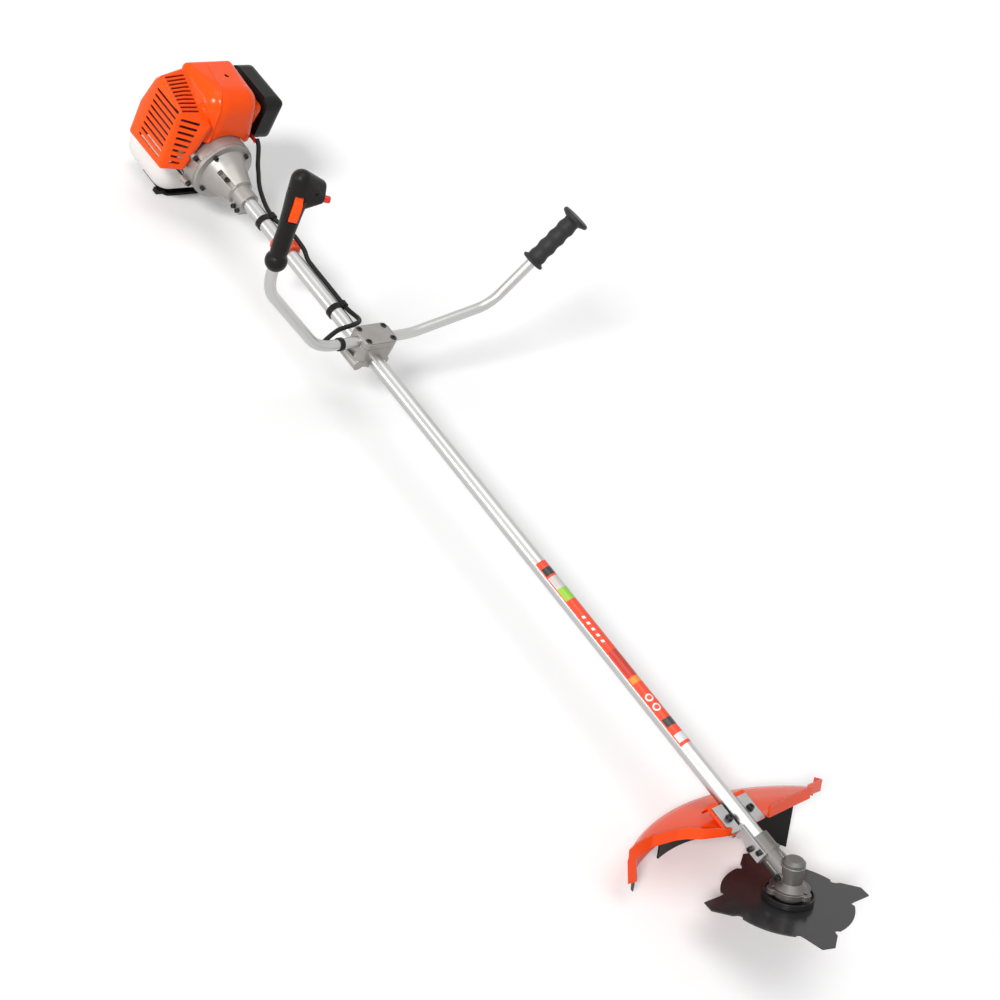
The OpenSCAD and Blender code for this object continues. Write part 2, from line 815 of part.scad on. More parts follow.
module clamp_block() {
    color("gray") at_clamp() difference() {
        translate([0, 0, clamp_gap / 2]) round_plate(clamp_l, clamp_w, 13, bar_z - clamp_gap);
        bar_groove();
        tube_groove();
        clamp_bolt_spots() bolt_hole(bolt_d, 60);
        for (s = [-1, 1]) translate([0, s * (clamp_w / 2 + 3), -1]) cylinder(r = 9, h = bar_z / 2);
    }
}

module clamp_base() {
    color("gray") at_clamp() difference() {
        union() {
            translate([0, 0, -12]) round_plate(clamp_l, clamp_w, 13, 12 - clamp_gap / 2);
            rotate([0, 90, 0]) translate([0, 0, -clamp_l / 2 + 2])
                cylinder(r = tube_r + 5.5, h = clamp_l - 4);
            for (s = [-1, 1]) translate([0, s * clamp_bolt_y, -10]) rotate([0, 90, 0])
                translate([0, 0, -clamp_l / 2 + 3]) cylinder(r = 11, h = clamp_l - 6);
        }
        translate([-clamp_l, -clamp_w, -clamp_gap / 2]) cube([2 * clamp_l, 2 * clamp_w, 40]);
        tube_groove();
        clamp_bolt_spots() bolt_hole(bolt_d, cap_top + 6);
    }
}

module clamp_bolts() {
    color("black") at_clamp() clamp_bolt_spots() bolt(bolt_d, cap_top + 4);
}

grip_from = left_end - grip_len + 6;

module left_grip() {
    wave = [for (i = [0 : 44]) [grip_d / 2 + 0.9 * sin(i * 32), 8 + i * (grip_len - 20) / 44]];
    color("black") at_clamp() translate(left_corner + grip_from * left_dir) aim(left_dir) difference() {
        rotate_extrude() polygon(concat(
            [[0, 0], [grip_d / 2 + 4, 0], [grip_d / 2 + 5.5, 1.5], [grip_d / 2 + 5.5, 4]], wave,
            [[grip_d / 2 + 10, grip_len - 7], [grip_d / 2 + 11, grip_len - 5],
            [grip_d / 2 + 11, grip_len - 2],
             [grip_d / 2 + 9, grip_len], [0, grip_len]]
        ));
        translate([0, 0, -1]) cylinder(r = bar_r + seat_gap, h = left_end - grip_from + 1.2);
    }
}

// Throttle

trigger_x = 5;
trigger_z = 124;
lock_x = -4;
lock_z = 72;
pin_r = 2;
nose_y = 34;
button_z = 112;
button_x = -8;
nose_turn = 28;
cheek_y = 8;
cheek_t = 2.4;
pin_half = cheek_y + cheek_t / 2;
nose_z = 126;

module throttle_skin(inset) {
    rotate_extrude() polygon(concat(
        [for (a = [-60 : 10 : 40]) [(ball_r - inset) * cos(a), (ball_r - inset) * sin(a)]],
        [[hand_r - inset, 24], [hand_r - 0.6 - inset, 50], [hand_r + 1 - inset, 84],
        [hand_r + 3 - inset, 112],
         [0, 112], [0, -(ball_r - inset) * sin(60)]]
    ));
    hull($fn = 24) {
        translate([0, -2, 139]) sphere(ball_r - 1 - inset);
        translate([0, -1, 104]) sphere(hand_r + 1.5 - inset);
        translate([-nose_y * sin(nose_turn), nose_y * cos(nose_turn), nose_z]) sphere(11 - inset);
        translate([button_x, nose_y - 2, button_z]) sphere(10 - inset);
    }
}

module throttle_shell() {
    difference() {
        throttle_skin(0);
        intersection() {
            throttle_skin(housing_wall);
            translate([-50, -50, bar_stop - 2]) cube([100, 120, 120]);
        }
        translate([0, 0, -40]) cylinder(r = bar_r + seat_gap, h = 40 + bar_stop + 0.2);
        translate([6, -7.5, 74]) cube([40, 15, 45]);
        translate([-46, -6.5, 66]) cube([40, 13, 50]);
        translate([button_x, nose_y, button_z]) rotate([-90, 0, 0])
            cylinder(r = button_d / 2 + run_gap, h = 30);
    }
}

// Two cheeks that carry a pin along Y.
module cheeks(x0, x1, z0, z1) {
    for (s = [-1, 1]) translate([x0, s * cheek_y - cheek_t / 2, z0]) cube([x1 - x0, cheek_t, z1 - z0]);
}

module throttle_housing_front() {
    color("dimgray") at_throttle() difference() {
        union() {
            intersection() {
                throttle_shell();
                translate([seat_gap, -far, -far]) cube(2 * far);
            }
            intersection() {
                cheeks(0.1, 20, trigger_z - 7, trigger_z + 8);
                throttle_skin(1);
            }
        }
        translate([trigger_x, 30, trigger_z]) rotate([90, 0, 0]) cylinder(r = pin_r + run_gap, h = 60);
    }
}

module throttle_housing_rear() {
    color("dimgray") at_throttle() difference() {
        union() {
            intersection() {
                throttle_shell();
                translate([-2 * far - seat_gap, -far, -far]) cube(2 * far);
            }
            intersection() {
                cheeks(-13.5, -0.1, lock_z - 4.5, lock_z + 5);
                throttle_skin(1);
            }
        }
        translate([lock_x, 30, lock_z]) rotate([90, 0, 0]) cylinder(r = pin_r + run_gap, h = 60);
    }
}

module throttle_trigger() {
    color("orangered") at_throttle() {
        rotate([90, 0, 0]) translate([0, 0, -6.5]) linear_extrude(13) polygon([
            [trigger_x - 5, trigger_z + 3], [trigger_x + 2, trigger_z + 5], [trigger_x + 4, trigger_z],
            [13.5, 113], [19.5, 108], [20.5, 98], [20, 86], [18, 78], [15, 76.5], [13, 79], [12, 100],
            [8, 112], [trigger_x - 5, trigger_z - 5]
        ]);
        translate([trigger_x, pin_half, trigger_z]) rotate([90, 0, 0])
            cylinder(r = pin_r, h = 2 * pin_half);
    }
}

module lockout_lever() {
    color("dimgray") at_throttle() {
        rotate([90, 0, 0]) translate([0, 0, -5.5]) linear_extrude(11) polygon([
            [lock_x - 4, lock_z - 4], [lock_x - 9, lock_z + 2], [-17.5, 88], [-19, 102], [-17.5, 112],
            [-14.5, 114.5],
            [-12, 113], [-10, 96], [lock_x + 3, lock_z + 3], [lock_x + 4, lock_z - 4]
        ]);
        translate([lock_x, pin_half, lock_z]) rotate([90, 0, 0]) cylinder(r = pin_r, h = 2 * pin_half);
    }
}

module stop_button() {
    color("red") at_throttle() translate([button_x, nose_y + 2, button_z]) rotate([-90, 0, 0]) {
        cylinder(d = button_d, h = 12);
        translate([0, 0, 12]) cylinder(d1 = button_d, d2 = button_d - 2, h = 1.5);
    }
}

// Cable

cable_off = (tube_r + cable_r + 0.4) * sin(45);
clip_x = [253, 473];

function bend_points(p, b, i, n) =
    let (
        way_in = unit(p[i] - p[i - 1]),
        way_out = unit(p[i + 1] - p[i]),
        side = unit(way_out - (way_out * way_in) * way_in),
        middle = p[i] - way_in * tangent(p, b, i) + side * b[i],
        step = turn(p, i) / n
    )
    [for (k = [0 : n]) middle - side * b[i] * cos(step * k) + way_in * b[i] * sin(step * k)];

bar_shift = [clamp_x, 0, 0];
free_route = [
    [98, 68, 48], [108, 66, 44], [122, 60, 36], [140, 50, 29], [160, 40, 24], [182, 29, 19],
    [206, 21, 15],
    [230, cable_off + 2, cable_off + 1], [clip_x[0] - 8, cable_off, cable_off],
    [clip_x[0] + 10, cable_off, cable_off],
    [268, cable_off + 0.6, cable_off + 0.6], [282, cable_off + 4, cable_off + 4],
    [292, cable_off + 5, cable_off + 5],
    [336, cable_off + 5, cable_off + 5], [346, cable_off + 4, cable_off + 4],
    [362, cable_off + 0.6, cable_off + 0.6],
    [380, cable_off, cable_off], [420, cable_off, cable_off], [clip_x[1] - 9, cable_off, cable_off],
    [clip_x[1] + 7, cable_off, cable_off], [clamp_x - 76, 13, 13.6], [clamp_x - 64, 13, 16.5],
    [clamp_x - 53, 10, 20.5],
    [clamp_x - 44, 3, 24.5], [clamp_x - 38, -7, 27.5], [clamp_x - 34, -19, 29.5],
    [clamp_x - 31, -32, 30.5],
    [clamp_x - 29, -46, 31], [clamp_x - 26, -60, 31], [clamp_x - 21, -74, 30.5]
];
cable_route = concat(
    free_route,
    [for (s = [28, 16, 4]) bar_shift + cable_entry + s * cable_way],
    [for (k = [7 : 12]) bar_turn[k] + bar_shift],
    [for (q = bend_points(bar_points, bar_bends, 4, 8)) q + bar_shift],
    [bar_points[5] + bar_shift - 20 * right_dir, bar_points[5] + bar_shift + 3 * right_dir]
);

// Rod swept along route points, with each ring square to the way through its point.
module swept(p, r, sides) {
    n = len(p);
    ways = [for (i = [0 : n - 1]) unit(p[min(i + 1, n - 1)] - p[max(i - 1, 0)])];
    points = [for (i = [0 : n - 1])
        let (a = unit(cross(ways[i], [0.31, 0.2, -0.93])), b = cross(ways[i], a))
        for (k = [0 : sides - 1]) p[i] + r * (a * cos(360 * k / sides) + b * sin(360 * k / sides))];
    faces = concat(
        [[for (k = [0 : sides - 1]) k]],
        [for (i = [0 : n - 2], k = [0 : sides - 1])
            [i * sides + k, (i + 1) * sides + k, (i + 1) * sides + (k + 1) % sides,
            i * sides + (k + 1) % sides]],
        [[for (k = [sides - 1 : -1 : 0]) (n - 1) * sides + k]]
    );
    polyhedron(points, faces);
}

module throttle_cable() {
    color("black") at_engine() swept(cable_route, cable_r, 10);
}

module cable_clips() {
    r_in = tube_r + seat_gap;
    color("black") {
        for (x = clip_x) along_shaft(x - 5) difference() {
            union() {
                cylinder(r = tube_r + 2, h = 10);
                translate([-cable_off, cable_off, 0]) cylinder(r = cable_r + 2.4, h = 10);
            }
            translate([0, 0, -1]) cylinder(r = r_in, h = 12);
            translate([-cable_off, cable_off, -1]) cylinder(r = cable_r + 0.35, h = 12);
        }
        at_clamp() translate([0, -70, bar_z]) rotate([90, 0, 0]) ring(bar_r + 2, bar_r + seat_gap, 8);
    }
}

hanger_from = 300;
hanger_len = 36;
eye_r = 6.5;
eye_t = 6;
eye_drop = tube_r + 17;

module hanger_clamp() {
    color("orangered") difference() {
        along_shaft(hanger_from) {
            cylinder(r = tube_r + 4, h = hanger_len);
            for (z = [0, hanger_len - 6]) translate([0, 0, z]) cylinder(r = tube_r + 5.5, h = 6);
            translate([-7, tube_r + 1, 8]) cube([14, 12, hanger_len - 16]);
            translate([eye_drop, eye_t / 2, hanger_len / 2]) rotate([90, 0, 0])
                cylinder(r = eye_r + 5, h = eye_t);
            translate([tube_r + 1, -eye_t / 2, hanger_len / 2 - eye_r - 2])
                cube([eye_drop - tube_r - 1, eye_t, 2 * eye_r + 4]);
        }
        along_shaft(hanger_from - 1) {
            cylinder(r = tube_r + seat_gap, h = hanger_len + 2);
            translate([-1, tube_r - 2, 0]) cube([2, 20, hanger_len + 2]);
        }
        along_shaft(hanger_from + hanger_len / 2) {
            translate([eye_drop, eye_t, 0]) rotate([90, 0, 0]) cylinder(r = eye_r, h = 2 * eye_t);
            translate([-20, tube_r + 8, 0]) rotate([0, 90, 0]) cylinder(d = screw_d, h = 40);
        }
    }
}

// Engine

clutch_end = clutch_x + 91;
clutch_bolt_r = 46.5;
pinch_bolt_x = [clutch_end - 19, clutch_end - 7];
pocket_turn = 239;
pocket_r = ball_bearing_r + 4;
ear_x = 102;
ear_r = 7;
ear_len = 14;
fan_ears = [[-57, 18], [-49, -38]];

module clutch_bolt_spots() {
    for (a = [45 : 90 : 315]) translate([clutch_x + 7, clutch_bolt_r * cos(a),
        shaft_z + clutch_bolt_r * sin(a)])
        rotate([0, 90, 0]) children();
}

module pinch_bolt_spots() {
    for (x = pinch_bolt_x) translate([x, -11, shaft_z - tube_r - 7]) rotate([90, 0, 0]) children();
}

module pocket_spot() {
    along_shaft(clutch_x + 41) rotate([0, 0, pocket_turn]) translate([pocket_r, 0, 0]) rotate([0, 90, 0])
        children();
}

module ear_spots() {
    for (e = fan_ears) translate([ear_x, e[0], shaft_z + e[1]]) rotate([0, 90, 0]) children();
}

module clutch_housing() {
    color("darkgray") difference() {
        union() {
            along_shaft(clutch_x) {
                rotate_extrude() polygon([
                    [0, 0], [clutch_r, 0], [clutch_r, 7], [clutch_r - 12, 8], [clutch_r - 15, 14],
                    [36, 26],
                    [24, 61], [tube_r + 5, 64], [tube_r + 5, clutch_end - clutch_x],
                    [0, clutch_end - clutch_x]
                ]);
                translate([tube_r, -11, 64]) cube([13, 22, clutch_end - clutch_x - 66]);
            }
        }
        along_shaft(clutch_x - 1) {
            cylinder(r = drum_r + 2, h = 16);
            cylinder(r = ball_bearing_bore + 4, h = drum_bearing_x - clutch_x + 2);
        }
        along_shaft(drum_bearing_x) cylinder(r = ball_bearing_r + seat_gap, h = ball_bearing_w + 0.2);
        along_shaft(drum_bearing_x) cylinder(r = tube_r - 1, h = 60);
        along_shaft(tube_start - 0.2) cylinder(r = tube_r + seat_gap, h = 80);
        translate([clutch_end - 26, -0.8, shaft_z - 40]) cube([40, 1.6, 40]);
        clutch_bolt_spots() {
            bolt_hole(screw_d, 16);
            cylinder(d = screw_head_d + 1, h = 30);
        }
        pinch_bolt_spots() bolt_hole(screw_d, 22);
        along_shaft(clutch_x + 25) rotate([0, 0, pocket_turn]) translate([pocket_r, -5, 0])
            cube([40, 10, 38]);
        pocket_spot() bolt_hole(screw_d, 3);
    }
}

module housing_bolts() {
    color("black") {
        clutch_bolt_spots() bolt(screw_d, 16);
        pinch_bolt_spots() bolt(screw_d, 20);
        pocket_spot() bolt(screw_d, 3);
        ear_spots() bolt(screw_d, ear_len - 2);
    }
}

drum_from = clutch_x - 16;

module clutch_drum() {
    depth = 27;
    color("gray") along_shaft(drum_from) difference() {
        union() {
            cylinder(r = drum_r, h = depth);
            cylinder(r = ball_bearing_bore + 3, h = drum_bearing_x - drum_from - 0.3);
            cylinder(r = ball_bearing_bore, h = drum_hub_end - drum_from);
        }
        translate([0, 0, -1]) cylinder(r = drum_r - 2.5, h = depth - 2);
        translate([0, 0, drive_from - drum_from - 0.5]) square_bar(square_side + 2 * seat_gap, 60);
        for (a = [0 : 60 : 300]) rotate([0, 0, a]) translate([24, 0, -1]) cylinder(d = 10, h = 60);
    }
}

module clutch_shoes() {
    r = drum_r - 2.5 - 0.9;
    color("saddlebrown") along_shaft(drum_from + 1) difference() {
        cylinder(r = r, h = 18);
        translate([0, 0, -1]) cylinder(r = 18, h = 20);
        for (s = [0, 180]) rotate([0, 0, s]) translate([0, -2, -1]) cube([60, 4, 20]);
        for (s = [-1, 1]) translate([0, s * 26, -1]) cylinder(r = 4 + seat_gap, h = 20);
        translate([0, 0, 8]) ring(r + 2, r - 2.5, 3);
    }
}

wheel_from = 70;
wheel_w = 20;

module flywheel() {
    color("gray") {
        along_shaft(wheel_from) difference() {
            union() {
                cylinder(r = wheel_r - 2, h = 7);
                cylinder(r = 16, h = wheel_w + 6);
                for (a = [0 : 24 : 336]) rotate([0, 0, a]) translate([22, -1, 6]) rotate([0, 0, 12])
                    cube([wheel_r - 25, 2, wheel_w - 7]);
                for (a = [0 : 180 : 180]) rotate([0, 0, a]) translate([wheel_r - 14, -12, 0])
                    cube([11, 24, wheel_w - 4]);
            }
            translate([0, 0, -1]) cylinder(r = 8 + seat_gap, h = 60);
        }
        for (s = [-1, 1]) translate([wheel_from + 5, s * 26, shaft_z]) rotate([0, 90, 0])
            cylinder(r = 4, h = drum_from + 14 - wheel_from - 5);
    }
}

fan_from = 62;

module fan_housing() {
    color("darkgray") difference() {
        union() {
            along_shaft(fan_from) cylinder(r = fan_r, h = clutch_x - fan_from);
            ear_spots() translate([0, 0, -ear_len]) cylinder(r = ear_r, h = ear_len);
            translate([fan_from, -30, shaft_z + 40]) cube([20, 60, fan_r - 30]);
        }
        along_shaft(wheel_from - 3) cylinder(r = wheel_r + 3, h = wheel_w + 7);
        along_shaft(wheel_from) cylinder(r = drum_r + 3, h = 100);
        along_shaft(fan_from - 1) cylinder(r = 20, h = 20);
        for (a = [200 : 20 : 340]) along_shaft(wheel_from + 4) rotate([0, 0, a])
            translate([wheel_r, -4, 0]) cube([20, 8, 12]);
        clutch_bolt_spots() bolt_hole(screw_d, 16);
        ear_spots() {
            bolt_hole(screw_d, ear_len - 2);
            cylinder(d = screw_head_d + 1, h = 30);
        }
    }
}

case_from = -8;
crank_r = 8;

module crankcase() {
    color("darkgray") difference() {
        union() {
            along_shaft(case_from) cylinder(r = cyl_base - 0.5, h = fan_from - case_from);
            translate([case_from + 2, -40, shaft_z]) cube([fan_from - case_from - 4, 80, cyl_base]);
            translate([10, -15, shaft_z - 60]) cube([34, 30, 30]);
        }
        along_shaft(case_from - 1) cylinder(r = crank_r + run_gap, h = 100);
        along_shaft(11) cylinder(r = 31, h = 36);
    }
}

module crankshaft() {
    color("slategray") {
        along_shaft(-20) cylinder(r = crank_r, h = 36);
        along_shaft(42) cylinder(r = crank_r, h = wheel_from + wheel_w + 4 - 42);
        for (x = [13, 34]) along_shaft(x) difference() {
            cylinder(r = 29, h = 10);
            for (s = [-1, 1]) translate([-32, s * 26 - 12, -1]) cube([36, 24, 12]);
        }
        translate([12, 0, shaft_z + 16]) rotate([0, 90, 0]) cylinder(r = 6, h = 32);
    }
}

cyl_base = 44;
cyl_x = 27;
fin_pitch = 6.6;

module cylinder_block() {
    top = cyl_base + 8 + fin_count * fin_pitch;
    color("darkgray") at_engine() difference() {
        union() {
            translate([cyl_x, 0, cyl_base]) round_plate(60, 62, 8, 5);
            translate([cyl_x, 0, cyl_base]) cylinder(r = 26, h = top - cyl_base);
            for (i = [0 : fin_count - 1]) translate([cyl_x, 0, cyl_base + 9 + i * fin_pitch])
                round_plate(68 - i, 80 - i, 10, 2.2);
            translate([cyl_x - 18, -40, cyl_base + 10]) cube([36, 80, 22]);
            translate([cyl_x, 0, top - 4]) cylinder(r1 = 20, r2 = 13, h = 8);
        }
        translate([cyl_x, 0, top - 8]) cylinder(r = 5 + seat_gap, h = 30);
        translate([cyl_x, -60, cyl_base + 21]) rotate([-90, 0, 0]) cylinder(r = 8, h = 40);
        translate([cyl_x, 20, cyl_base + 21]) rotate([-90, 0, 0]) cylinder(r = 8, h = 40);
    }
}

plug_z = cyl_base + 8 + fin_count * fin_pitch + 4;

module spark_plug() {
    color("gainsboro") at_engine() translate([cyl_x, 0, plug_z]) {
        translate([0, 0, -10]) cylinder(r = 5, h = 11);
        cylinder(r = 8, h = 5, $fn = 6);
        translate([0, 0, 4]) cylinder(r = 4.2, h = 10);
    }
}

module plug_cap() {
    cap_r = 7.5;
    color("black") at_engine() translate([cyl_x, 0, plug_z + 6]) difference() {
        union() {
            rotate_extrude() polygon(concat(
                [[0, 0], [cap_r, 0]],
                [for (a = [0 : 10 : 90]) [cap_r * cos(a), 6 + cap_r * sin(a)]]
            ));
            translate([0, 0, 6]) rotate([0, -90, 0]) cylinder(r = 4.5, h = 20);
        }
        translate([0, 0, -1]) cylinder(r = 4.2 + seat_gap, h = 9.2);
    }
}

muffler_y = -46;

module muffler() {
    color("dimgray") at_engine() difference() {
        union() {
            translate([29, muffler_y, 38]) rotate([90, 0, 0]) round_plate(66, 72, 12, 46);
            translate([29, muffler_y - 20, 38]) rotate([90, 0, 0]) round_plate(69, 75, 13, 3);
            translate([cyl_x, muffler_y - 1, cyl_base + 21]) rotate([-90, 0, 0])
                round_plate(34, 22, 6, 7);
        }
        translate([cyl_x, muffler_y - 30, cyl_base + 21]) rotate([-90, 0, 0]) cylinder(r = 8, h = 60);
        translate([50, muffler_y - 30, 20]) rotate([0, 90, 0]) cylinder(r = 6, h = 40);
    }
}

// Spheres at the corners of the dome and of the muffler cover, as x, y, z and radius.
dome_balls = [
    [56, -14, 94, 38], [56, 24, 94, 38], [-14, -40, 116, 10], [-14, 44, 118, 10],
    [88, -40, 16, 12], [88, 48, 16, 12], [-10, -40, 16, 12], [-10, 50, 16, 12]
];
guard_balls = [
    [66, -97, 87, 8], [0, -97, 104, 8], [-8, -95, 94, 8], [-20, -95, 40, 8], [-15, -97, -16, 8],
    [76, -97, -14, 8],
    [91, -52, 76, 8], [-8, -50, 112, 8], [-15, -50, -16, 8], [87, -66, -9, 8]
];
line_h = 1.4;
shoulder_balls = [[-4, 62, 92, 12], [66, 62, 92, 12], [-4, 62, 52, 8], [66, 62, 52, 8],
    [10, 30, 104, 14], [56, 30, 104, 14]];

module ball_hull(balls, inset, fine) {
    hull() for (b = balls) translate([b[0], b[1], b[2]]) sphere(b[3] - inset, $fn = fine);
}

module cover_skin(inset) {
    ball_hull(dome_balls, inset, 36);
    ball_hull(guard_balls, inset, 24);
    ball_hull(shoulder_balls, inset, 24);
}

// Raised line from the rear of the dome over its top and down the front.
line_from = [-11, -3.5];
line_to = [91, -35];

module dome_line() {
    way = line_to - line_from;
    intersection() {
        ball_hull(dome_balls, -line_h, 36);
        translate([line_from[0], line_from[1], 40]) rotate([0, 0, atan2(way[1], way[0])])
            translate([0, -1.6, 0]) cube([160, 3.2, 140]);
    }
}

module top_cover() {
    color("orangered") at_engine() difference() {
        union() {
            cover_skin(0);
            dome_line();
        }
        cover_skin(cover_wall);
        translate([-60, -48, -60]) cube([200, 180, 104]);
        translate([-60, -130, -60]) cube([200, 100, 38]);
        translate([-60, 60, -60]) cube([200, 60, 110]);
        translate([-2, 50, -60]) cube([62, 60, 151]);
        translate([-9, -96, -40]) cube([78, 56, 118]);
        for (i = [0 : slot_count - 1]) {
            translate([37, -120, -4 + i * slot_pitch]) rotate([-90, 0, 0]) slot(66, slot_h, 30);
            if (i < slot_count - 1) translate([84, -80, -2 + i * slot_pitch]) rotate([0, 0, 66])
                rotate([-90, 0, 0])
                translate([-2, 0, -30]) slot(20 + 2 * i, slot_h, 60);
        }
        for (i = [0 : slot_count]) translate([3 + i * 7.4, -78, 60]) rotate([0, 0, 90]) slot(38, 3.4, 70);
        translate([25, 12, 100]) cylinder(r = 4.5, h = 60);
        cover_opening();
    }
}

// Opening of the cover for the fan and starter housings.
module cover_opening() {
    translate([fan_from - 6, 0, 0]) rotate([0, 90, 0]) cylinder(r = fan_r + 1, h = 80);
    translate([-60, 0, 0]) rotate([0, 90, 0]) cylinder(r = starter_r + 1, h = 80);
    for (e = fan_ears) translate([80, e[0], e[1]]) rotate([0, 90, 0]) cylinder(r = ear_r + 0.5, h = 60);
}

starter_from = -70;

module starter_housing() {
    color("dimgray") difference() {
        union() {
            along_shaft(starter_from + 8) cylinder(r = starter_r, h = case_from - starter_from - 8);
            along_shaft(starter_from) cylinder(r1 = starter_r - 8, r2 = starter_r, h = 8);
            translate([starter_from + 22, pulley_r - 10, shaft_z + 20]) cube([22, 20, 44]);
        }
        along_shaft(starter_from + 8) difference() {
            cylinder(r = starter_r - 3, h = 80);
            translate([0, 0, -10]) cylinder(r = 6, h = 38);
        }
        for (a = [0 : 30 : 330]) along_shaft(starter_from - 1) rotate([0, 0, a]) translate([34, 0, 0])
            slot(24, 6, 12);
        translate([starter_from + 33, pulley_r, shaft_z]) cylinder(r = 3, h = 100);
    }
}

pulley_from = starter_from + 24;

module starter_pulley() {
    color("ivory") along_shaft(pulley_from) rotate_extrude() polygon([
        [6 + run_gap, 0], [pulley_r + 4, 0], [pulley_r + 4, 3], [pulley_r - 3, 6], [pulley_r - 3, 12],
        [pulley_r + 4, 15], [pulley_r + 4, 18], [14, 18], [14, 13], [6 + run_gap, 13]
    ]);
}

module starter_handle() {
    color("black") translate([starter_from + 33, pulley_r, shaft_z + 64.3]) {
        cylinder(r1 = 6, r2 = 9, h = 8);
        translate([0, 0, 12]) rotate([90, 0, 0]) translate([0, 0, -22]) {
            cylinder(r = 8, h = 44);
            for (z = [0, 44]) translate([0, 0, z]) sphere(8);
        }
        translate([0, 0, -30]) cylinder(r = 2.4, h = 31);
    }
}

// Intake

carb_z = cyl_base + 21;
base_y = 76;

module carburettor() {
    color("silver") at_engine() difference() {
        union() {
            translate([cyl_x, 40.2, carb_z]) rotate([-90, 0, 0]) round_plate(40, 24, 5, 6);
            translate([cyl_x - 18, 46, carb_z - 17]) cube([36, base_y - 46 - 0.2, 32]);
            translate([cyl_x - 14, 50, carb_z + 14]) cube([28, 18, 6]);
            translate([cyl_x + 17, 54, carb_z - 12]) cube([8, 14, 14]);
        }
        translate([cyl_x, 30, carb_z]) rotate([-90, 0, 0]) cylinder(r = 8, h = 60);
        translate([cyl_x, 60, carb_z + 8]) cylinder(r = 2 + run_gap, h = 30);
        translate([cyl_x, 60, carb_z - 18]) cylinder(r = 8 + run_gap, h = 6);
    }
}

module carb_lever() {
    color("gray") at_engine() translate([cyl_x, 60, carb_z + 9]) {
        cylinder(r = 2, h = 15);
        translate([0, 0, 11.4]) linear_extrude(2) {
            circle(5);
            translate([0, -2.5]) square([16, 5]);
            translate([16, 0]) circle(2.5);
        }
    }
}

module primer_bulb() {
    color("khaki") at_engine() translate([cyl_x, 60, carb_z - 17.5]) {
        translate([0, 0, -3]) cylinder(r = 8, h = 4);
        translate([0, 0, -3]) intersection() {
            sphere(8);
            translate([-10, -10, -20]) cube([20, 20, 20]);
        }
    }
}

filter_x = 22;
filter_z = 70;
filter_l = 118;
filter_h = 88;
choke_x = 66;

module filter_base() {
    color("black") at_engine() difference() {
        union() {
            translate([filter_x, base_y, filter_z]) rotate([-90, 0, 0])
                round_plate(filter_l - 8, filter_h - 8, 18, 4);
            translate([filter_x, base_y + 4, filter_z]) rotate([-90, 0, 0]) cylinder(r = 6, h = 34);
        }
        translate([cyl_x, base_y - 1, carb_z]) rotate([-90, 0, 0]) cylinder(r = 8, h = 9);
        translate([filter_x, base_y + 20, filter_z]) rotate([-90, 0, 0])
            cylinder(r = 3 + run_gap, h = 20);
        translate([choke_x, base_y - 1, 40]) rotate([-90, 0, 0]) cylinder(r = 3 + run_gap, h = 20);
    }
}

module filter_element() {
    color("tan") at_engine() translate([filter_x, base_y + 4.1, filter_z]) rotate([-90, 0, 0])
        difference() {
        round_plate(filter_l - 24, filter_h - 24, 10, 20);
        translate([0, 0, -1]) round_plate(filter_l - 44, filter_h - 44, 6, 14);
        translate([0, 0, -1]) cylinder(r = 6 + seat_gap, h = 40);
        translate([choke_x - filter_x, filter_z - 40, -1]) cylinder(r = 9, h = 40);
    }
}

module choke_lever() {
    color("red") at_engine() translate([choke_x, base_y - 3, 40]) rotate([-90, 0, 0]) {
        cylinder(r = 3, h = 9);
        translate([0, 0, -3]) linear_extrude(3) {
            circle(6);
            translate([0, -3]) square([26, 6]);
            translate([26, 0]) circle(4);
        }
    }
}

cover_y = base_y + 48;
cover_edge = 22;

module filter_cover() {
    deep = cover_y - base_y;
    color("dimgray") at_engine() translate([filter_x, base_y, filter_z]) rotate([-90, 0, 0])
        difference() {
        translate([0, 0, -deep]) round_box(filter_l, filter_h, 2 * deep - 2, cover_edge);
        translate([0, 0, -deep + 2]) round_box(filter_l - 2 * cover_wall, filter_h - 2 * cover_wall,
            2 * deep - 4 - cover_wall, cover_edge - 2);
        translate([-200, -200, -100]) cube([400, 400, 100]);
        cylinder(r = 6 + run_gap, h = 80);
        for (i = [0 : 4]) translate([-24 + i * 12, 0, 24]) rotate([-90, 0, 0]) rotate([0, 0, 90])
            slot(20, 4, 80);
    }
}

module filter_knob() {
    color("black") at_engine() translate([filter_x, cover_y - 1.7, filter_z]) rotate([-90, 0, 0]) {
        difference() {
            cylinder(r = 13, h = 8);
            for (a = [0 : 60 : 300]) rotate([0, 0, a]) translate([14.5, 0, -1]) cylinder(r = 4, h = 12);
        }
        translate([0, 0, -26]) cylinder(r = 3, h = 27);
    }
}

// Tank

saddle_r = starter_r + 4;
stand_h = shaft_z - tank_drop;
cap_z = -58;
leg_y = 28;
stand_y = 17;
neck_y = tank_left - 4;
tank_mid = -3;

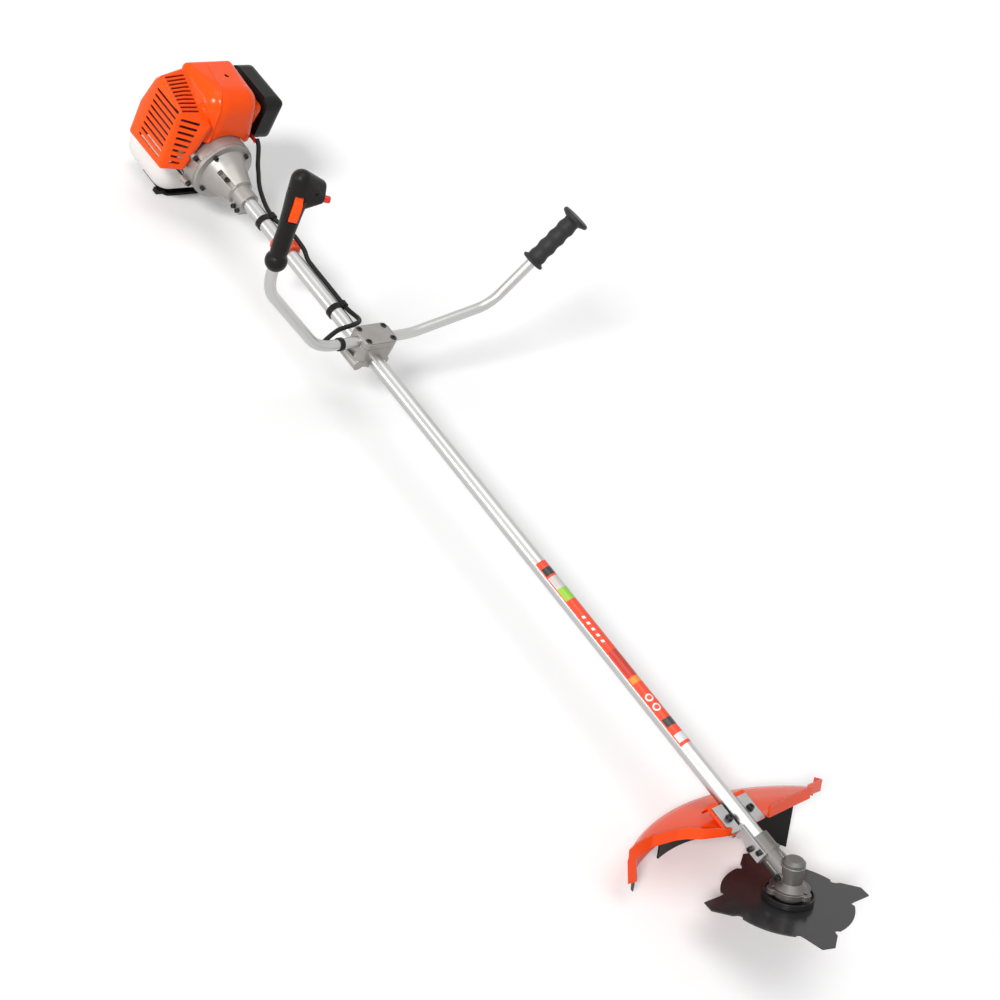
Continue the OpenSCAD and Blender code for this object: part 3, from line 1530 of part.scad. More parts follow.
module fuel_tank() {
    lip = 14;
    x_reach = tank_len / 2 - tank_r;
    color("white") at_engine() difference() {
        union() {
            difference() {
                hull($fn = 32) for (s = [-1, 1]) translate([tank_mid, 0, 0]) {
                    translate([s * x_reach, tank_r - tank_right, tank_r - tank_drop]) sphere(tank_r);
                    translate([s * x_reach, tank_left - tank_r - 20, tank_r - tank_drop]) sphere(tank_r);
                    translate([s * (x_reach + 6), tank_r - tank_right, lip - 56]) sphere(tank_r - 6);
                    translate([s * (x_reach + 14), tank_left - lip, lip - 54]) sphere(lip);
                }
                translate([-200, -200, -28]) cube([400, 400, 100]);
                translate([-200, 0, 0]) rotate([0, 90, 0]) cylinder(r = saddle_r, h = 400);
            }
            translate([8, -22, -70]) cube([38, 44, 10]);
            translate([0, neck_y - 40, cap_z]) rotate([-90, 0, 0]) cylinder(r = cap_d / 2 - 3, h = 46);
        }
        translate([0, neck_y - 14, cap_z]) rotate([-90, 0, 0]) cylinder(r = cap_d / 2 - 6, h = 40);
    }
}

module fuel_cap() {
    color("black") at_engine() translate([0, neck_y + 6.3, cap_z]) rotate([-90, 0, 0]) {
        difference() {
            cylinder(d = cap_d, h = 11);
            for (a = [0 : 24 : 336]) rotate([0, 0, a]) translate([cap_d / 2 + 1.2, 0, -1])
                cylinder(r = 2.4, h = 14);
        }
        translate([0, 0, -14]) cylinder(r = cap_d / 2 - 6 - run_gap, h = 15);
    }
}

// Small foot at the front right corner of the stand, as x, y and size.
front_foot = [22, -38, 12, 16];

module tank_stand() {
    color("black") difference() {
        union() {
            translate([0, stand_y, 0]) {
                round_plate(stand_l, stand_w, 12, 5);
                for (s = [-1, 1]) {
                    translate([10 - stand_l / 2, s * leg_y - 8, 0]) cube([stand_l - 20, 16, stand_h]);
                    translate([s * 24 - 3, -leg_y, 0]) cube([6, 2 * leg_y, stand_h]);
                }
            }
            translate([front_foot[0], front_foot[1], 0]) cube([front_foot[2], front_foot[3], 8]);
        }
        for (s = [-1, 1]) translate([0, stand_y + s * leg_y, 5]) rotate([90, 0, 0]) translate([0, 0, -20])
            linear_extrude(40) polygon([[-20, 0], [20, 0], [14, stand_h - 11], [-14, stand_h - 11]]);
    }
}
shaft_tube();
tube_bushes();
drive_shaft();
bearings();
gear_case();
gear_case_bolts();
pinion();
bevel_gear();
output_shaft();
upper_flange();
blade();
lower_flange();
blade_nut();
guard();
guard_extension();
line_cutter();
guard_bracket();
bracket_pad();
guard_bolts();
handlebar();
clamp_cap();
clamp_block();
clamp_base();
clamp_bolts();
left_grip();
throttle_housing_front();
throttle_housing_rear();
throttle_trigger();
lockout_lever();
stop_button();
throttle_cable();
cable_clips();
hanger_clamp();
clutch_housing();
housing_bolts();
clutch_drum();
clutch_shoes();
fan_housing();
flywheel();
crankshaft();
crankcase();
cylinder_block();
spark_plug();
plug_cap();
muffler();
top_cover();
starter_housing();
starter_pulley();
starter_handle();
carburettor();
carb_lever();
choke_lever();
primer_bulb();
filter_base();
filter_element();
filter_cover();
filter_knob();
fuel_tank();
fuel_cap();
tank_stand();
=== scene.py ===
"""Finishes, moulded skins, throttle cable, shaft label and studio for a petrol brush cutter."""

import json
import math

import bpy
from mathutils import Matrix, Vector

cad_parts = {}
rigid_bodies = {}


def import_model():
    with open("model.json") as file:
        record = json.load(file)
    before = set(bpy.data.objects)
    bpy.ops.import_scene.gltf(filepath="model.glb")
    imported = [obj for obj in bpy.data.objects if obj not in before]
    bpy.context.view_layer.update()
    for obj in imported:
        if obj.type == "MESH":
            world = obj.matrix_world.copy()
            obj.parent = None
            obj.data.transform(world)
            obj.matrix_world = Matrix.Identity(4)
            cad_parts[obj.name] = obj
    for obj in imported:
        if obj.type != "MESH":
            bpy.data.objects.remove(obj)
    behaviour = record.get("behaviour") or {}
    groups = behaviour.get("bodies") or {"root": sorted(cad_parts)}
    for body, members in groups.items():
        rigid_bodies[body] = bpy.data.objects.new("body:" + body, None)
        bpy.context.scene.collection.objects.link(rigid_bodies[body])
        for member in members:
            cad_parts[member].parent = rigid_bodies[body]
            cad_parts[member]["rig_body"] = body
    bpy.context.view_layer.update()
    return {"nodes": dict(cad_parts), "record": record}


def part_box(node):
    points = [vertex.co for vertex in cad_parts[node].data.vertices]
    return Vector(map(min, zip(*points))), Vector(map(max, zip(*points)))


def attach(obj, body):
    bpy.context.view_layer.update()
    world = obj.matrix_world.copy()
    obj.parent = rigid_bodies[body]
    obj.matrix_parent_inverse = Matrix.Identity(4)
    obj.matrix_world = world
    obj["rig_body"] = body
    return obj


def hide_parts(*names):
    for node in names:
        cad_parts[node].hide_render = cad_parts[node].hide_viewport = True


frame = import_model()

bl_info = {
    "name": "Brush Cutter",
    "version": (1, 0, 0),
    "blender": (4, 5, 0),
    "location": "View3D > Sidebar > Brush Cutter",
    "description": "Dresses the packed brush cutter with its finishes, cable, label and studio",
    "category": "Object",
}

# Height of the shaft's axis and radius of its tube, both from the tube's box.
tube_low, tube_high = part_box("shaft_tube")
SHAFT_Z = (tube_low[2] + tube_high[2]) / 2
TUBE_R = (tube_high[2] - tube_low[2]) / 2

# Route of the throttle cable from the carburettor to the grip, in metres, with heights from the shaft axis.
CABLE_ROUTE = (
    (0.098, 0.068, 0.048), (0.108, 0.066, 0.044), (0.122, 0.060, 0.036), (0.140, 0.050, 0.029),
    (0.160, 0.040, 0.024), (0.182, 0.029, 0.019), (0.206, 0.021, 0.015), (0.230, 0.0143, 0.0133),
    (0.245, 0.0123, 0.0123), (0.263, 0.0123, 0.0123), (0.268, 0.0129, 0.0129), (0.282, 0.0163, 0.0163),
    (0.292, 0.0173, 0.0173), (0.336, 0.0173, 0.0173), (0.346, 0.0163, 0.0163), (0.362, 0.0129, 0.0129),
    (0.380, 0.0123, 0.0123), (0.420, 0.0123, 0.0123), (0.464, 0.0123, 0.0123), (0.480, 0.0123, 0.0123),
    (0.492, 0.013, 0.0136), (0.504, 0.013, 0.0165), (0.515, 0.010, 0.0205), (0.524, 0.003, 0.0245),
    (0.530, -0.007, 0.0275), (0.534, -0.019, 0.0295), (0.537, -0.032, 0.0305), (0.539, -0.046, 0.031),
    (0.542, -0.060, 0.031), (0.547, -0.074, 0.0305), (0.5529, -0.0879, 0.0303), (0.5581, -0.0987, 0.0307),
    (0.5633, -0.1095, 0.0312), (0.568, -0.1252, 0.0344), (0.568, -0.1305, 0.0369), (0.568, -0.1357, 0.0397),
    (0.568, -0.1407, 0.0428), (0.568, -0.1455, 0.0463), (0.568, -0.1501, 0.050), (0.568, -0.2758, 0.1573),
    (0.5679, -0.2812, 0.1625), (0.5677, -0.2861, 0.1682), (0.5674, -0.2904, 0.1743), (0.5669, -0.294, 0.1808),
    (0.5664, -0.2969, 0.1877), (0.5657, -0.2991, 0.1948), (0.5649, -0.3005, 0.2022), (0.564, -0.3012, 0.2096),
    (0.5562, -0.3036, 0.2702), (0.5533, -0.3045, 0.293),
)

# Camera: its own axes and its place, solved from points on the shaft, the blade and the handle.
CAMERA_RIGHT = (0.5803, 0.6822, 0.4448)
CAMERA_UP = (-0.7216, 0.1775, 0.6691)
CAMERA_BACK = (0.3775, -0.7093, 0.5953)
CAMERA_PLACE = (2.0580, -2.1224, 1.9270)
SENSOR_WIDTH = 36

# Floor: a hair under the stand, so that their faces don't coincide.
FLOOR_SIZE = 40
FLOOR_MIDDLE = (0.8, 0, -0.0004)

# Rays that show the white surroundings: from the camera, off gloss and through glass.
SEEN_RAYS = ("Is Camera Ray", "Is Glossy Ray", "Is Transmission Ray")

# Nodes that show curved moulded faces and get one smooth skin.
MOULDED = (
    "top_cover", "throttle_housing_front", "throttle_housing_rear",
    "fuel_tank", "guard", "filter_cover",
)
MERGE_DISTANCE = 0.00002
SKIN_ANGLE = math.radians(32)

# Nodes whose outer edges are rounded in their skin, each with the radius in metres.
ROUNDED = {"filter_cover": 0.005}
FLAT_ANGLE = math.radians(1)
CORNER_ANGLE = math.radians(15)
SHARP_RIM = 0.001
HULL_SLACK = 0.0001

# Gap between the tube and the label's film, and the angle below which the film looks round.
FILM_GAP = 0.00005
FILM_ANGLE = math.radians(40)

# Fields of the label: first and last share of its length, cover and colour.
LABEL_FIELDS = (
    (0.035, 0.075, 1.0, (0.02, 0.02, 0.02)),
    (0.085, 0.150, 1.0, (0.55, 0.53, 0.50)),
    (0.150, 0.215, 1.0, (0.28, 0.55, 0.04)),
    (0.500, 0.640, 0.75, (0.42, 0.02, 0.01)),
    (0.645, 0.675, 0.8, (0.80, 0.32, 0.02)),
    (0.865, 0.905, 1.0, (0.03, 0.03, 0.03)),
    (0.945, 0.985, 1.0, (0.66, 0.66, 0.66)),
)

# Angles from the label's long edges, near the camera and far from it, to its fields.
NEAR_MARGIN = 0.16
FAR_MARGIN = 0.2

# Rings on the label: middles as shares of its length, angle from its near edge, radius outside and inside.
RING_MIDDLES = (0.757, 0.807)
RING_ANGLE = 0.75
RING_RADIUS = 0.0065
RING_HOLE = 0.0040
RING_COLOUR = (0.80, 0.78, 0.74)

# Slanted dashes on the label: field, angles from its near edge, and the wave that cuts them.
DASH_FIELD = (0.29, 0.46)
DASH_ANGLES = (0.45, 0.80)
DASH_WAVE = 190
DASH_SLANT = 2.2
DASH_LEVEL = 0.35
DASH_COLOUR = (0.85, 0.85, 0.85)


class LabelSettings(bpy.types.PropertyGroup):
    """Printed film on the tube in front of the handle."""

    start: bpy.props.FloatProperty(
        name="Start", description="Where it begins along the shaft", default=1.049, unit="LENGTH")
    length: bpy.props.FloatProperty(
        name="Length", description="Length along the tube", default=0.364, unit="LENGTH")
    thickness: bpy.props.FloatProperty(
        name="Thickness", description="Thickness of the film", default=0.00015, precision=5, unit="LENGTH")
    edge: bpy.props.FloatProperty(
        name="Edge", description="Angle of its near long edge", default=math.radians(157), subtype="ANGLE")
    wrap: bpy.props.FloatProperty(
        name="Wrap", description="Angle that it covers on the tube",
        default=math.radians(178), subtype="ANGLE")
    colour: bpy.props.FloatVectorProperty(
        name="Colour", description="Ground colour of the print",
        default=(0.85, 0.055, 0.012), subtype="COLOR")


class CableSettings(bpy.types.PropertyGroup):
    """Throttle cable in its sleeve."""

    diameter: bpy.props.FloatProperty(
        name="Diameter", description="Outer diameter of the sleeve", default=0.008, unit="LENGTH")


class FinishSettings(bpy.types.PropertyGroup):
    """Colours of the finishes."""

    shell: bpy.props.FloatVectorProperty(
        name="Engine shell", description="Glossy moulded plastic",
        default=(0.96, 0.080, 0.001), subtype="COLOR")
    shield: bpy.props.FloatVectorProperty(
        name="Shield", description="Plastic of shield and hanger",
        default=(0.87, 0.066, 0.006), subtype="COLOR")
    black: bpy.props.FloatVectorProperty(
        name="Black plastic", description="Grained plastic of grip and filter",
        default=(0.008, 0.0075, 0.007), subtype="COLOR")
    rubber: bpy.props.FloatVectorProperty(
        name="Rubber", description="Left grip, cable and pads",
        default=(0.020, 0.020, 0.020), subtype="COLOR")
    casting: bpy.props.FloatVectorProperty(
        name="Casting", description="Sand-cast alloy", default=(0.34, 0.322, 0.302), subtype="COLOR")
    tube: bpy.props.FloatVectorProperty(
        name="Tube", description="Satin aluminium", default=(0.53, 0.53, 0.525), subtype="COLOR")
    blade: bpy.props.FloatVectorProperty(
        name="Blade", description="Dark paint of the blade", default=(0.024, 0.024, 0.025), subtype="COLOR")
    tank: bpy.props.FloatVectorProperty(
        name="Tank", description="Milky plastic", default=(0.72, 0.70, 0.67), subtype="COLOR")
    steel: bpy.props.FloatVectorProperty(
        name="Bright steel", description="Turned and plated steel",
        default=(0.46, 0.46, 0.455), subtype="COLOR")
    scaled: bpy.props.FloatVectorProperty(
        name="Dark steel", description="Steel with its scale",
        default=(0.095, 0.0935, 0.0925), subtype="COLOR")
    bolts: bpy.props.FloatVectorProperty(
        name="Bolts", description="Blackened steel", default=(0.012, 0.012, 0.0127), subtype="COLOR")
    red: bpy.props.FloatVectorProperty(
        name="Red plastic", description="Stop button and choke",
        default=(0.62, 0.018, 0.012), subtype="COLOR")
    lining: bpy.props.FloatVectorProperty(
        name="Lining", description="Clutch shoes", default=(0.10, 0.06, 0.036), subtype="COLOR")
    pale: bpy.props.FloatVectorProperty(
        name="Pale plastic", description="Pulley, primer and filter",
        default=(0.62, 0.58, 0.44), subtype="COLOR")


class StudioSettings(bpy.types.PropertyGroup):
    """Camera and light."""

    lens: bpy.props.FloatProperty(
        name="Lens", description="Focal length in millimetres", default=68.894)
    floor: bpy.props.FloatVectorProperty(
        name="Floor", description="Colour of the floor", default=(0.93, 0.93, 0.93), subtype="COLOR")
    glow: bpy.props.FloatProperty(
        name="Floor glow", description="Share of white that the floor shows, without light on the object",
        default=0.07)
    sky: bpy.props.FloatProperty(
        name="Sky", description="Strength of the even light from all round", default=0.3)
    backdrop: bpy.props.FloatProperty(
        name="Backdrop", description="Strength of the white surroundings in view and in reflections",
        default=1.0)
    top: bpy.props.FloatProperty(
        name="Top light", description="Strength of the wide light above", default=0.9)
    top_spread: bpy.props.FloatProperty(
        name="Top spread", description="Width of the light above as seen from the floor",
        default=math.radians(45), subtype="ANGLE")
    top_place: bpy.props.FloatVectorProperty(
        name="Top place", description="Where the light above shines from",
        default=(-0.4, -0.5, 4.0), subtype="TRANSLATION", unit="LENGTH")
    front: bpy.props.FloatProperty(
        name="Front light", description="Strength of the light from the side of the camera", default=2.25)
    front_spread: bpy.props.FloatProperty(
        name="Front spread", description="Width of the front light as seen from the floor",
        default=math.radians(12), subtype="ANGLE")
    front_place: bpy.props.FloatVectorProperty(
        name="Front place", description="Where the front light shines from",
        default=(0.7, -3.0, 2.3), subtype="TRANSLATION", unit="LENGTH")
    side: bpy.props.FloatProperty(
        name="Side light", description="Strength of the low light that draws a line along the tubes",
        default=0.5)
    side_spread: bpy.props.FloatProperty(
        name="Side spread", description="Width of the low light as seen from the floor",
        default=math.radians(12), subtype="ANGLE")
    side_place: bpy.props.FloatVectorProperty(
        name="Side place", description="Where the low light shines from",
        default=(-1.3, -3.2, 0.35), subtype="TRANSLATION", unit="LENGTH")


class Value:
    """Output of a node. Sums, products and comparisons of such outputs add Math nodes."""

    def __init__(self, nodes, socket):
        self.nodes = nodes
        self.socket = socket

    def math(self, operation, first, second=0.0):
        return self.nodes.node("ShaderNodeMath", {"operation": operation}, {0: first, 1: second})

    def __add__(self, other):
        return self.math("ADD", self, other)

    __radd__ = __add__

    def __sub__(self, other):
        return self.math("SUBTRACT", self, other)

    def __rsub__(self, other):
        return self.math("SUBTRACT", other, self)

    def __mul__(self, other):
        return self.math("MULTIPLY", self, other)

    __rmul__ = __mul__

    def __truediv__(self, other):
        return self.math("DIVIDE", self, other)

    def __rtruediv__(self, other):
        return self.math("DIVIDE", other, self)

    def __gt__(self, level):
        return self.math("GREATER_THAN", self, level)

    def __lt__(self, level):
        return self.math("LESS_THAN", self, level)

    def wave(self):
        return self.math("SINE", self)

    def larger(self, other):
        return self.math("MAXIMUM", self, other)

    def arctan2(self, other):
        return self.math("ARCTAN2", self, other)


class Nodes:
    """Nodes of one shader tree."""

    def __init__(self, tree):
        self.tree = tree

    def node(self, kind, settings=None, inputs=None, output=0):
        """Adds a node of a type, with its settings and then the values or links of its sockets."""
        made = self.tree.nodes.new(kind)
        for name, value in (settings or {}).items():
            setattr(made, name, value)
        for name, value in (inputs or {}).items():
            self.feed(made.inputs[name], value)
        return Value(self, made.outputs[output])

    def feed(self, socket, value):
        if isinstance(value, Value):
            self.tree.links.new(value.socket, socket)
        elif socket.type == "RGBA":
            socket.default_value = (*value[:3], 1)
        else:
            socket.default_value = value

    def seen(self):
        """1 for a ray that shows the white surroundings, and 0 for the others."""
        seen = self.node("ShaderNodeLightPath", output=SEEN_RAYS[0])
        for ray in SEEN_RAYS[1:]:
            seen = seen.larger(self.node("ShaderNodeLightPath", output=ray))
        return seen


class Finish(Nodes):
    """One procedural material on Object coordinates."""

    # Likeness of the true and the rounded normal at which wear starts, and at which it is full.
    WEAR_STARTS = 0.985
    WEAR_FULL = 0.80

    def __init__(self, name, colour, roughness=0.5, metallic=0.0):
        self.material = bpy.data.materials.new(name + "_finish")
        self.material.use_nodes = True
        super().__init__(self.material.node_tree)
        self.shader = self.tree.nodes["Principled BSDF"]
        self.place = self.node("ShaderNodeTexCoord", output="Object")
        self.set("Base Color", colour)
        self.set("Roughness", roughness)
        self.set("Metallic", metallic)

    def set(self, name, value):
        self.feed(self.shader.inputs[name], value)

    def axis(self, name):
        return self.node("ShaderNodeSeparateXYZ", None, {0: self.place}, name)

    def noise(self, scale, detail=2.0, stretch=(1, 1, 1)):
        spread = self.node("ShaderNodeMapping", None, {"Vector": self.place, "Scale": stretch})
        return self.node("ShaderNodeTexNoise", None, {"Vector": spread, "Scale": scale, "Detail": detail})

    def ramp(self, value, low, high):
        return self.node("ShaderNodeMapRange", {"clamp": True}, {0: value, 1: low, 2: high})

    def mix(self, share, first, second):
        return self.node("ShaderNodeMix", {"data_type": "RGBA"}, {0: share, 6: first, 7: second}, 2)

    def tones(self, share, colour, dark, light):
        return self.mix(share, shade(colour, dark), shade(colour, light))

    def edges(self, radius):
        return self.node("ShaderNodeBevel", {"samples": 6}, {"Radius": radius})

    def relief(self, height, depth, edge=0.0006):
        self.set("Normal", self.node(
            "ShaderNodeBump", None, {"Height": height, "Distance": depth, "Normal": self.edges(edge)}))

    def wear(self, radius=0.0012):
        """Share of an edge at each point, from 0 on a flat face to 1."""
        bent = self.edges(radius)
        flat = self.node("ShaderNodeNewGeometry", output="Normal")
        along = self.node("ShaderNodeVectorMath", {"operation": "DOT_PRODUCT"}, {0: bent, 1: flat}, "Value")
        return self.ramp(along, self.WEAR_STARTS, self.WEAR_FULL)


def shade(colour, factor):
    return tuple(part * factor for part in colour)


def rubbed(colour):
    """Paler colour of an edge that is rubbed in use."""
    return tuple(0.8 * part + 0.05 for part in colour)


def satin_aluminium(colours):
    """Drawn tube with fine streaks along it."""
    f = Finish("satin_aluminium", colours.tube, metallic=1.0)
    streaks = f.noise(scale=40, detail=3, stretch=(0.4, 14, 14))
    f.set("Base Color", f.tones(f.noise(scale=9), colours.tube, 0.93, 1.04))
    f.set("Roughness", 0.24 + streaks * 0.14)
    f.relief(streaks, depth=0.00002)
    return f.material


def cast_alloy(colours):
    """Cloudy casting with bright edges, darker on the gear case at the front end."""
    f = Finish("cast_alloy", colours.casting, metallic=0.75)
    grain = f.noise(scale=1500, detail=3)
    front_end = f.ramp(f.axis("X"), low=1.2, high=1.3)
    cloudy = f.tones(f.noise(scale=30, detail=4), colours.casting, 0.82, 1.18)
    ground = f.mix(front_end, cloudy, shade(colours.casting, 0.42))
    f.set("Base Color", f.mix(f.wear() * 0.5, ground, (0.62, 0.61, 0.59)))
    f.set("Roughness", 0.34 + grain * 0.2)
    f.relief(grain, depth=0.00005, edge=0.0009)
    return f.material


def bright_steel(colours):
    """Turned steel with fine lines."""
    f = Finish("bright_steel", colours.steel, metallic=1.0)
    lines = f.noise(scale=700, stretch=(1, 0.1, 1))
    f.set("Base Color", f.tones(f.noise(scale=60), colours.steel, 0.87, 1.13))
    f.set("Roughness", 0.22 + lines * 0.2)
    f.relief(lines, depth=0.00002)
    return f.material


def dark_steel(colours):
    """Steel with uneven dark scale."""
    f = Finish("dark_steel", colours.scaled, metallic=0.8)
    scale = f.noise(scale=220, detail=4)
    f.set("Base Color", f.tones(scale, colours.scaled, 0.645, 1.355))
    f.set("Roughness", 0.38 + scale * 0.25)
    f.relief(scale, depth=0.00005)
    return f.material


def black_bolts(colours):
    """Blackened steel with bare edges."""
    f = Finish("black_bolts", colours.bolts, metallic=0.35)
    spots = f.noise(scale=600, detail=3)
    blackened = f.tones(spots, colours.bolts, 0.75, 1.83)
    f.set("Base Color", f.mix(f.wear(radius=0.0006) * 0.5, blackened, (0.10, 0.10, 0.10)))
    f.set("Roughness", 0.30 + spots * 0.2)
    f.relief(spots, depth=0.00002, edge=0.0004)
    return f.material


def blade_steel(colours):
    """Glossy dark paint with scuffs and worn edges."""
    f = Finish("blade_steel", colours.blade)
    peel = f.noise(scale=420, detail=3)
    scuffs = f.ramp(f.noise(scale=14, detail=6, stretch=(1, 3, 1)), low=0.52, high=0.72)
    painted = f.tones(f.noise(scale=25), colours.blade, 0.85, 1.2)
    f.set("Base Color", f.mix(f.wear(radius=0.0007) * 0.35, painted, (0.16, 0.16, 0.16)))
    f.set("Roughness", 0.16 + scuffs * 0.08 + peel * 0.06)
    f.set("Specular IOR Level", 0.4)
    f.relief(peel, depth=0.00002, edge=0.0004)
    return f.material


def moulded(name, colour, roughness, grain, depth, edge):
    """Dyed plastic with a fine skin and slightly paler rubbed edges."""
    f = Finish(name, colour)
    skin = f.noise(scale=grain)
    ground = f.tones(f.noise(scale=7, detail=3), colour, 0.94, 1.05)
    f.set("Base Color", f.mix(f.wear() * 0.35, ground, rubbed(colour)))
    f.set("Roughness", roughness + (skin - 0.5) * 0.12)
    f.relief(skin, depth, edge)
    return f


def orange_shell(colours):
    """Glossy plastic of the engine cover and the trigger."""
    f = moulded("orange_shell", colours.shell, roughness=0.22, grain=40, depth=0.00002, edge=0.0028)
    f.set("Specular IOR Level", 0.14)
    f.set("Coat Weight", 0.10)
    f.set("Coat Roughness", 0.1)
    return f.material


def orange_shield(colours):
    """Plastic of the shield and the hanger."""
    f = moulded("orange_shield", colours.shield, roughness=0.18, grain=40, depth=0.00001, edge=0.0008)
    f.set("Specular IOR Level", 0.2)
    return f.material


def black_plastic(colours):
    """Grained plastic of the throttle housing, the filter and the starter."""
    f = moulded("black_plastic", colours.black, roughness=0.40, grain=1500, depth=0.00002, edge=0.0012)
    f.set("Specular IOR Level", 0.16)
    return f.material


def rubber_black(colours):
    """Rubber, greyed by use on the left grip and darker on the sleeve and the pads."""
    f = Finish("rubber_black", colours.rubber)
    grain = f.noise(scale=1800)
    left_side = f.ramp(f.axis("Y"), low=0.15, high=0.20)
    greyed = f.tones(f.noise(scale=7, detail=3), colours.rubber, 1.05, 1.25)
    grip = f.mix(f.wear() * 0.35, greyed, rubbed(colours.rubber))
    f.set("Base Color", f.mix(left_side, shade(colours.rubber, 0.22), grip))
    f.set("Roughness", 0.55 + (grain - 0.5) * 0.12)
    f.set("Specular IOR Level", 0.22)
    f.relief(grain, depth=0.00004)
    return f.material


def tank_white(colours):
    """Milky plastic, a little darker low down."""
    f = Finish("tank_white", colours.tank)
    flow = f.noise(scale=16, detail=3)
    high_up = f.ramp(f.axis("Z"), low=0.02, high=0.10)
    milky = f.tones(flow, colours.tank, 0.95, 1.04)
    f.set("Base Color", f.mix(high_up, shade(colours.tank, 0.90), milky))
    f.set("Roughness", 0.36 + flow * 0.1)
    f.set("Subsurface Weight", 0.25)
    f.set("Subsurface Radius", (0.012, 0.012, 0.011))
    f.relief(f.noise(scale=700), depth=0.00004, edge=0.001)
    return f.material


def red_plastic(colours):
    """Plastic of the stop button and the choke lever."""
    f = moulded("red_plastic", colours.red, roughness=0.25, grain=500, depth=0.00002, edge=0.0005)
    return f.material


def brown_lining(colours):
    """Fibrous lining of the clutch shoes."""
    f = Finish("brown_lining", colours.lining)
    fibres = f.noise(scale=500, detail=4, stretch=(1, 4, 1))
    f.set("Base Color", f.tones(fibres, colours.lining, 0.5, 1.5))
    f.set("Roughness", 0.7 + fibres * 0.2)
    f.relief(fibres, depth=0.0001)
    return f.material


def pale_plastic(colours):
    """Undyed plastic of the pulley, the primer bulb and the filter."""
    f = moulded("pale_plastic", colours.pale, roughness=0.4, grain=900, depth=0.00004, edge=0.0006)
    return f.material


def label_print(settings):
    """Generic print: a ground with coloured fields, two rings and a row of dashes."""
    f = Finish("label_print", settings.colour)
    along = (f.axis("X") - settings.start) / settings.length
    angle = (f.axis("Z") - SHAFT_Z).arctan2(f.axis("Y"))

    def field(first, last):
        return (along > first) * (along < last)

    def band(near, far):
        return (angle < settings.edge - near) * (angle > settings.edge - far)

    def disc(middle, radius):
        across = (angle - settings.edge + RING_ANGLE) * TUBE_R
        ahead = (along - middle) * settings.length
        return (across * across + ahead * ahead) < radius * radius

    mottle = f.noise(scale=240, detail=3)
    inside = band(NEAR_MARGIN, settings.wrap - FAR_MARGIN)
    drawn = f.tones(f.noise(scale=40), settings.colour, 0.9, 1.08)
    for first, last, cover, colour in LABEL_FIELDS:
        drawn = f.mix(field(first, last) * inside * cover, drawn, colour)
    for middle in RING_MIDDLES:
        drawn = f.mix(disc(middle, RING_RADIUS), drawn, RING_COLOUR)
        drawn = f.mix(disc(middle, RING_HOLE), drawn, settings.colour)
    dashes = ((along * DASH_WAVE + angle * DASH_SLANT).wave() > DASH_LEVEL) * field(*DASH_FIELD)
    drawn = f.mix(dashes * band(*DASH_ANGLES), drawn, DASH_COLOUR)
    f.set("Base Color", drawn)
    f.set("Roughness", 0.24 + mottle * 0.1)
    f.relief(mottle, depth=0.00001, edge=0.0002)
    return f.material


MAKERS = {
    "satin_aluminium": satin_aluminium, "cast_alloy": cast_alloy, "bright_steel": bright_steel,
    "dark_steel": dark_steel, "black_bolts": black_bolts, "blade_steel": blade_steel,
    "orange_shell": orange_shell, "orange_shield": orange_shield, "black_plastic": black_plastic,
    "rubber_black": rubber_black, "tank_white": tank_white, "red_plastic": red_plastic,
    "brown_lining": brown_lining, "pale_plastic": pale_plastic,
}


def finish_of(slot):
    """Finish of a material slot, made the first time that it is asked for."""
    made = bpy.data.materials.get(slot + "_finish")
    return made or MAKERS[slot](bpy.context.scene.brush_cutter_finish)


def slot_of(node):
    return next(s["material_slot"] for s in frame["record"]["subparts"] if s["node"] == node)


def paint(piece, material):
    piece.data.materials.clear()
    piece.data.materials.append(material)


def only(piece):
    """Leaves one object selected and active."""
    bpy.ops.object.select_all(action="DESELECT")
    piece.select_set(True)
    bpy.context.view_layer.objects.active = piece


def settle(piece):
    """Puts the place, turn and scale of a piece into its mesh."""
    only(piece)
    bpy.ops.object.transform_apply(location=True, rotation=True, scale=True)


